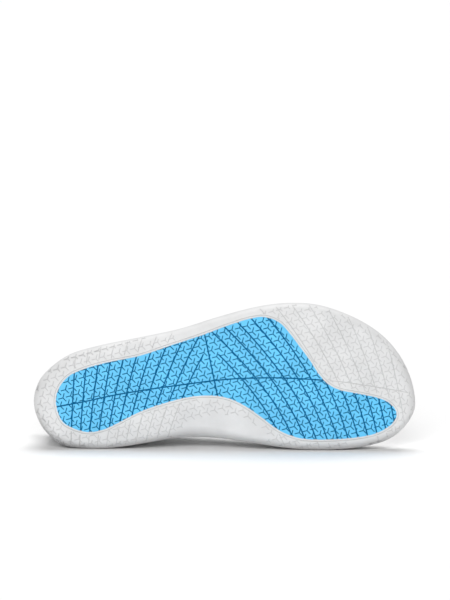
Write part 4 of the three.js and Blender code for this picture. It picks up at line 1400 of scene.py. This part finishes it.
def ribbon_along(bm, controls, thick, sub=5, rows=14):
    """Flat lace through control points of position, width and the direction across it."""
    rings = []
    n = len(controls)
    for i in range(n - 1):
        p0, p1, p2, p3 = (controls[min(n - 1, max(0, i + k))] for k in (-1, 0, 1, 2))
        for k in range(sub + (i == n - 2)):
            t = k / sub
            a, b, c, d = p0[0], p1[0], p2[0], p3[0]
            position = 0.5 * (2 * b + (c - a) * t + (2 * a - 5 * b + 4 * c - d) * t * t
                              + (3 * b - a - 3 * c + d) * t**3)
            width = p1[1] + (p2[1] - p1[1]) * smooth(t)
            a, b = p1[2], p2[2] if p1[2].dot(p2[2]) >= 0 else -p2[2]
            rings.append([position, width, a.lerp(b, smooth(t)).normalized()])
    for i in range(1, len(rings)):
        if rings[i][2].dot(rings[i - 1][2]) < 0:
            rings[i][2] = -rings[i][2]
    lengths = running([position for position, _, _ in rings])

    def place(i, j):
        position, width, across = rings[i]
        tangent = (rings[min(len(rings) - 1, i + 1)][0] - rings[max(0, i - 1)][0]).normalized()
        over = tangent.cross(across).normalized()
        side = over.cross(tangent)
        c, k = flat_section(j, rows, 0.55, 0.8)
        height = thick * clamp(4.6 / width, 1, 1.5)
        return position + side * (width / 2 * c) + over * (height / 2 * k)

    verts, _ = grid(bm, len(rings) - 1, rows, place, lambda i, j: (lengths[i], j * 14.2 / rows))
    close(bm, 1e-4, verts)


def lace_controls(side):
    """Half of the lace: down through its bottom eyelet, then criss-cross up to its top eyelet."""
    bottom = EYELETS["pairs"] - 1
    points = []

    def add(x, v, out, width, towards):
        position = RIDGE.at(x, v, out)
        across = RIDGE.normal(x, v).cross(towards).normalized()
        points.append((position, width, across))

    x, v = eyelet(bottom, side)
    level = (RIDGE.at(x, v) - RIDGE.at(x, -v)).normalized()
    for share, out, width in ((0, 1.15, 6), (0.35, 1.3, 6), (0.62, 1.5, 6), (0.84, 2.15, 4.6)):
        add(x, v * share, out, width, level)
    add(x, v, 0.2, 3.3, level)
    row = bottom
    while row > 0:
        x, v = eyelet(row, side)
        x2, v2 = eyelet(row - 1, -side)
        towards = (RIDGE.at(x2, v2) - RIDGE.at(x, v)).normalized()
        on_top = (row + (side > 0)) % 2 == 0
        middle = 0.85 if on_top else -0.45
        if row == bottom:
            steps = [(0.06, -2.5, 3.6), (0.16, -2.75, 5), (0.3, -2.6, 6)]
            middle = -0.7 if on_top else -1.9
        else:
            steps = [(0.0, 0.6, 3.2), (0.055, 2.15, 4.4), (0.15, 1.6, 5.8), (0.3, 1.35, 6)]
        steps += [(0.5, middle, 6), (0.66, -1.5, 6), (0.8, -2.7, 5.6), (0.93, -2.75, 4.2), (1.0, -1.2, 3.3)]
        for share, out, width in steps:
            add(x + (x2 - x) * share, v + (v2 - v) * share, out, width, towards)
        side, row = -side, row - 1
    x, v = eyelet(0, side)
    add(x, v, 0.6, 3.3, towards)
    add(x, v, 1.35, 3.2, towards)
    return points


def build_laces(settings):
    bm = bmesh.new()
    halves = [lace_controls(side) for side in (1, -1)]
    ribbon_along(bm, halves[0][::-1] + halves[1][1:], settings.lace_thickness)
    lace = finished("flat_lace", bm, [woven_material("lace_weave", settings.lace, 0.9)])
    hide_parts("lace")


HEEL_LOOP = {"width": 12, "thickness": 1.2, "low": 54, "high": 86, "opening": 3.2}


def build_heel_loop(settings):
    wall = Wall(Station(HEEL_X, math.pi))
    outside = [wall.at(wall.corner + (wall.total - wall.corner) * k / 300, 0.25) for k in range(300)]

    def wall_x(z):
        k = next(i for i in range(1, 300) if outside[i].z > z)
        a, b = outside[k - 1], outside[k]
        return a.x + (b.x - a.x) * (z - a.z) / (b.z - a.z)

    loop = HEEL_LOOP
    half = loop["thickness"] / 2
    top = loop["high"] - loop["opening"]
    fold = loop["opening"] / 2 + half
    heights = [loop["low"] + (top - loop["low"]) * k / 16 for k in range(17)]
    path = [Vector((wall_x(z) - half, z)) for z in heights]
    centre = Vector((path[-1].x - fold, top))
    angles = [math.pi * k / 12 for k in range(1, 13)]
    path += [centre + Vector((math.cos(a), math.sin(a))) * fold for a in angles]
    for k in range(15, -1, -1):
        z = loop["low"] + 1.5 + (top - loop["low"] - 1.5) * k / 16
        away = 2 * fold * smooth((k - 1) / 7) + (1 - smooth((k - 1) / 7)) * loop["thickness"] * 1.05
        path.append(Vector((wall_x(z) - half - away, z)))
    lengths = running(path)
    rows = 18
    y = middle_y(HEEL_X)

    def place(i, j):
        tangent = (path[min(len(path) - 1, i + 1)] - path[max(0, i - 1)]).normalized()
        c, k = flat_section(j, rows, 0.35, 0.6)
        p = path[i] + Vector((-tangent.y, tangent.x)) * (half * k)
        return Vector((p.x, y + loop["width"] / 2 * c, p.y))

    bm = bmesh.new()
    grid(bm, len(path) - 1, rows, place, lambda i, j: (lengths[i], j * 26 / rows))
    close(bm, 1e-4)
    piece = finished("webbing_loop", bm, [woven_material("webbing", settings.lace, 1.3)])
    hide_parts("heel_loop")

    bm = bmesh.new()
    low, high = loop["low"] + 3, loop["low"] + 10
    far = lambda z: wall_x(z) - 2 * loop["thickness"] - 0.25
    corners_at = [(-4.6, low), (4.6, low), (4.6, high), (-4.6, high), (-4.6, low)]
    for (y0, z0), (y1, z1) in zip(corners_at, corners_at[1:]):
        line = [(y0 + (y1 - y0) * t / 4, z0 + (z1 - z0) * t / 4) for t in range(5)]
        stitch_row(bm, [Vector((far(z), y + dy, z)) for dy, z in line], pitch=1.8, length=1.5, thick=0.5)
    finished("loop_stitches", bm, [thread_material("loop_thread", settings.thread)])


def film_material(name, colour, share=1.0):
    """Smooth bonded film with a faint leathery grain and a soft gloss."""
    shader = Shader(name, rgba(colour, share)[:3], 0.45, coat_weight=0.15, coat_roughness=0.3)
    place = shader.place()
    cells = shader.node("ShaderNodeTexVoronoi", {"Vector": place, "Scale": 1100}, feature="SMOOTH_F1")
    broad = shader.noise(place, 70, detail=3)
    shader.set("Base Color", shader.mix(broad, rgba(colour, share * 0.95), rgba(colour, share * 1.02)))
    shader.set("Roughness", 0.4 + 0.16 * broad)
    shader.set("Normal", shader.bump(cells, 0.35, 0.0002))
    return shader.material


def thread_material(name, colour):
    shader = Shader(name, colour, 0.6, sheen_weight=0.2)
    twist = shader.noise(shader.place(), 2500, detail=2)
    shader.set("Base Color", shader.mix(twist, rgba(colour, 0.85), rgba(colour, 1.0)))
    shader.set("Normal", shader.bump(twist, 0.5, 0.0002))
    return shader.material


def woven_material(name, colour, pitch):
    """Flat woven cord: herringbone ribs of yarn, from the piece's own UVs in millimetres."""
    shader = Shader(name, colour, 0.85, sheen_weight=0.3, sheen_roughness=0.5)
    u, v = shader.laid_flat()
    zig = (v * (1 / (2 * pitch))).math("PINGPONG", 0.5)
    ribs = ((u * (1 / pitch) + zig * 1.6) * math.tau).math("SINE")
    seams = (v * (math.tau / (2 * pitch))).math("COSINE") ** 2
    height = (ribs * 0.5 + 0.5) * 0.8 + seams * 0.2
    shader.set("Base Color", shader.mix(height, rgba(colour, 0.72), rgba(colour, 1.02)))
    fuzz = shader.bump(shader.noise(shader.place(), 1800), 0.3, 0.0002)
    shader.set("Normal", shader.bump(height, 0.7, 0.0004, fuzz))
    return shader.material


def insole_material(name, colour):
    """Insole cloth over foam, punched with rows of small air holes."""
    shader = Shader(name, colour, 0.95, sheen_weight=0.2)
    u, v = shader.laid_flat()
    dots = (u * (math.tau / 14)).math("COSINE") * (v * (math.tau / 14)).math("COSINE")
    hole = dots.between(0.88, 0.95)
    weave = (u * (math.tau / 1.1)).math("SINE") * (v * (math.tau / 1.1)).math("SINE")
    cloth = shader.mix(weave * 0.5 + 0.5, rgba(colour, 0.88), rgba(colour, 1.0))
    # The air holes are painted dark: painted shade inside them
    shader.set("Base Color", shader.mix(hole, cloth, rgba(colour, 0.3)))
    shader.set("Normal", shader.bump(weave * 0.2 - hole, 0.8, 0.0004))
    return shader.material


def mesh_cloth_material(name, colour):
    """Knitted mesh: small open cells in staggered rows between fine ribs of yarn, slightly fuzzy."""
    shader = Shader(name, colour, 0.85, sheen_weight=0.25, sheen_roughness=0.5)
    u, v = shader.laid_flat()
    cells = (u * (math.tau / 2.5)).math("COSINE") * (v * (math.tau / 3.0)).math("COSINE")
    hole = cells.between(0.38, 0.78)
    yarn = (u * (math.tau / 0.5) + (v * (math.tau / 0.75)).math("SINE") * 1.3).math("SINE")
    fuzz = shader.noise(shader.place(), 700, detail=3)
    # The open cells are darker: partly the layer seen through them, partly painted shade in the holes
    shade = shader.mix(hole, rgba(colour), rgba(colour, 0.6))
    shader.set("Base Color", shader.mix((yarn * 0.5 + 0.5) * 0.16, shade, rgba(colour, 0.6)))
    relief = shader.bump(yarn * 0.12 + fuzz * 0.25, 0.6, 0.0002)
    shader.set("Normal", shader.bump(1 - hole, 0.8, 0.0005, relief))
    return shader.material


def lining_material(name, colour):
    """Soft brushed lining cloth."""
    shader = Shader(name, colour, 0.95, sheen_weight=0.3, sheen_roughness=0.6)
    place = shader.place()
    fine, broad = shader.noise(place, 1500, detail=3), shader.noise(place, 90, detail=2)
    shader.set("Base Color", shader.mix(broad, rgba(colour, 0.93), rgba(colour, 1.04)))
    shader.set("Normal", shader.bump(fine, 0.5, 0.0003))
    return shader.material


# Stage


def row_point(x, y, z):
    return TO_ROW @ Vector((x, y, z))


def row_direction(x, y, z):
    return (TO_ROW.to_3x3() @ Vector((x, y, z))).normalized()


def aim(thing, place, target, up=Vector((0, 0, 1))):
    """Stands a camera or light at a place, its -Z axis towards a target."""
    back = (place - target).normalized()
    right = up.cross(back).normalized()
    turned = Matrix((right, back.cross(right), back)).transposed().to_4x4()
    thing.matrix_world = Matrix.Translation(place) @ turned


PICTURE = {"middle": (142.2, -73.1), "width": 0.3337}  # of its centre in millimetres, of its width in metres
SENSOR = 36  # millimetres
OVERHEAD = {"place": (0.06, 0.55, 1.4), "spread": 42}  # metres and degrees
FRONT = {"place": (-0.25, -2.4, 1.25), "spread": 30}


def build_camera(settings):
    """Long lens square to the sole; the shoe sits low in the tall picture."""
    camera = add_object("camera", bpy.data.cameras.new("camera"))
    target = row_point(*PICTURE["middle"], 0)
    distance = settings.camera_distance
    aim(camera, target - row_direction(0, 0, 1) * distance, target, row_direction(0, -1, 0))
    camera.data.sensor_fit = "HORIZONTAL"
    camera.data.sensor_width = SENSOR
    camera.data.lens = SENSOR * distance / PICTURE["width"]
    camera.data.clip_end = 100
    bpy.context.scene.camera = camera


def soft_light(name, power, place, spread):
    """Far, wide light that shines from a place towards the shoe."""
    light = add_object(name, bpy.data.lights.new(name, "SUN"))
    light.data.energy, light.data.angle = power, math.radians(spread)
    aim(light, Vector(place), Vector((0, 0, 0)))


def build_stage(settings):
    """Pale floor, even light with one soft light from above and one from the front, and the camera."""
    bm = bmesh.new()
    bmesh.ops.create_grid(bm, x_segments=1, y_segments=1, size=30)
    floor = add_object("floor", mesh_from("floor", bm))
    shader = Shader("floor_paint", settings.floor, 0.9)
    shader.set("Specular IOR Level", 0.1)
    floor.data.materials.append(shader.material)
    floor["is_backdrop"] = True

    world = bpy.data.worlds.new("studio")
    world.use_nodes = True
    background = world.node_tree.nodes["Background"]
    background.inputs["Color"].default_value = (1, 1, 1, 1)
    background.inputs["Strength"].default_value = settings.world_light
    bpy.context.scene.world = world
    bpy.context.scene.view_settings.view_transform = "Standard"
    soft_light("overhead", settings.overhead_light, **OVERHEAD)
    soft_light("front", settings.front_light, **FRONT)
    build_camera(settings)


# Add-on


def length(name, text, default, low, high):
    return bpy.props.FloatProperty(name=name, description=text, default=default, min=low, max=high)


def colour(name, text, default):
    return bpy.props.FloatVectorProperty(name=name, description=text, default=default, size=3, min=0, max=1,
                                         subtype="COLOR")


class ShoeSettings(bpy.types.PropertyGroup):
    """Sizes in millimetres and colours of the shoe's pieces."""

    white: colour("White rubber", "Colour of the rubber cup", (0.75, 0.752, 0.754))
    knit: colour("Upper", "Colour of the knitted upper", (0.72, 0.725, 0.73))
    lining: colour("Lining", "Colour of the lining cloth", (0.6, 0.61, 0.62))
    tongue: colour("Tongue", "Colour of the tongue's cloth", (0.68, 0.685, 0.69))
    film: colour("Film", "Colour of the film round the throat", (0.74, 0.745, 0.75))
    lace: colour("Lace", "Colour of the lace and the heel loop", (0.78, 0.78, 0.775))
    thread: colour("Thread", "Colour of the stitches", (0.7, 0.7, 0.7))
    lace_thickness: length("Lace thickness", "Thickness of the flat lace", 1.1, 0.5, 2)
    blue: colour("Blue rubber", "Colour of the tread inlay", (0.13, 0.60, 0.97))
    # The grooves' floors are painted dark: painted shade
    blue_groove_shade: colour("Blue groove", "Colour of the floors of the inlay's grooves", (0.001, 0.16, 0.355))
    groove_width: length("Groove width", "Width of the inlay's flex grooves", 0.9, 0.4, 3)
    groove_depth: length("Groove depth", "Depth of the inlay's flex grooves", 0.9, 0.2, 1.4)


def power(name, description, value):
    return bpy.props.FloatProperty(name=name, description=description, default=value)


class StageSettings(bpy.types.PropertyGroup):
    """Light and camera."""

    floor: colour("Floor", "Colour of the floor", (0.98, 0.98, 0.98))
    world_light: power("Room light", "Even light from all round", 0.19)
    overhead_light: power("Overhead", "Light from above, behind the shoe", 2.05)
    front_light: power("Front", "Light from the camera's side", 1.75)
    camera_distance: bpy.props.FloatProperty(
        name="Camera distance", description="From the camera to the sole", default=4.0,
        subtype="DISTANCE", unit="LENGTH"
    )


class SHOE_OT_stage(bpy.types.Operator):
    """Makes the floor, the soft light and the camera"""

    bl_idname = "shoe.stage"
    bl_label = "Stage"

    def execute(self, context):
        build_stage(context.scene.shoe_stage)
        return {"FINISHED"}


class SHOE_OT_sole(bpy.types.Operator):
    """Makes the white rubber cup with its recess, lip, grooves and sipes"""

    bl_idname = "shoe.sole"
    bl_label = "Sole"

    def execute(self, context):
        build_sole(context.scene.shoe)
        return {"FINISHED"}


class SHOE_OT_inlay(bpy.types.Operator):
    """Makes the blue tread inlay with its flex grooves and sipes"""

    bl_idname = "shoe.inlay"
    bl_label = "Inlay"

    def execute(self, context):
        build_inlay(context.scene.shoe)
        return {"FINISHED"}


class SHOE_OT_upper(bpy.types.Operator):
    """Makes the knitted upper with its padded ankle"""

    bl_idname = "shoe.upper"
    bl_label = "Upper"

    def execute(self, context):
        build_upper(context.scene.shoe)
        return {"FINISHED"}


class SHOE_OT_eyestay(bpy.types.Operator):
    """Makes the film round the throat with its eyelets and stitches"""

    bl_idname = "shoe.eyestay"
    bl_label = "Eyestay"

    def execute(self, context):
        build_eyestay(context.scene.shoe)
        return {"FINISHED"}


class SHOE_OT_tongue(bpy.types.Operator):
    """Makes the padded tongue"""

    bl_idname = "shoe.tongue"
    bl_label = "Tongue"

    def execute(self, context):
        build_tongue(context.scene.shoe)
        return {"FINISHED"}


class SHOE_OT_insole(bpy.types.Operator):
    """Makes the insole"""

    bl_idname = "shoe.insole"
    bl_label = "Insole"

    def execute(self, context):
        build_insole(context.scene.shoe)
        return {"FINISHED"}


class SHOE_OT_laces(bpy.types.Operator):
    """Makes the flat lace, criss-cross through the eyelets"""

    bl_idname = "shoe.laces"
    bl_label = "Lace"

    def execute(self, context):
        build_laces(context.scene.shoe)
        return {"FINISHED"}


class SHOE_OT_heel_loop(bpy.types.Operator):
    """Makes the webbing loop on the heel with its box of stitches"""

    bl_idname = "shoe.heel_loop"
    bl_label = "Heel loop"

    def execute(self, context):
        build_heel_loop(context.scene.shoe)
        return {"FINISHED"}


class SHOE_PT_panel(bpy.types.Panel):
    """Lists the pieces of the shoe with their sizes and colours"""

    bl_idname = "SHOE_PT_panel"
    bl_label = "Barefoot Training Shoe"
    bl_space_type = "VIEW_3D"
    bl_region_type = "UI"
    bl_category = "Shoe"

    def draw(self, context):
        for group in (context.scene.shoe, context.scene.shoe_stage):
            for name in group.bl_rna.properties.keys():
                if name not in ("name", "rna_type"):
                    self.layout.prop(group, name)
        for operator in OPERATORS:
            self.layout.operator(operator.bl_idname)


OPERATORS = (SHOE_OT_stage, SHOE_OT_sole, SHOE_OT_inlay, SHOE_OT_upper, SHOE_OT_eyestay, SHOE_OT_tongue,
             SHOE_OT_insole, SHOE_OT_laces, SHOE_OT_heel_loop)
CLASSES = (ShoeSettings, StageSettings, *OPERATORS, SHOE_PT_panel)


def register():
    for item in CLASSES:
        bpy.utils.register_class(item)
    bpy.types.Scene.shoe = bpy.props.PointerProperty(type=ShoeSettings)
    bpy.types.Scene.shoe_stage = bpy.props.PointerProperty(type=StageSettings)


def unregister():
    del bpy.types.Scene.shoe_stage
    del bpy.types.Scene.shoe
    for item in reversed(CLASSES):
        bpy.utils.unregister_class(item)


def corners(bounds):
    return [list(corner) for corner in bounds]


def main():
    packed = corners(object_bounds())
    register()
    bpy.ops.shoe.stage()
    bpy.ops.shoe.sole()
    bpy.ops.shoe.inlay()
    bpy.ops.shoe.upper()
    bpy.ops.shoe.eyestay()
    bpy.ops.shoe.tongue()
    bpy.ops.shoe.insole()
    bpy.ops.shoe.laces()
    bpy.ops.shoe.heel_loop()
    {"packed": packed, "visual": corners(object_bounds())}


if __name__ == "__main__":
    main()
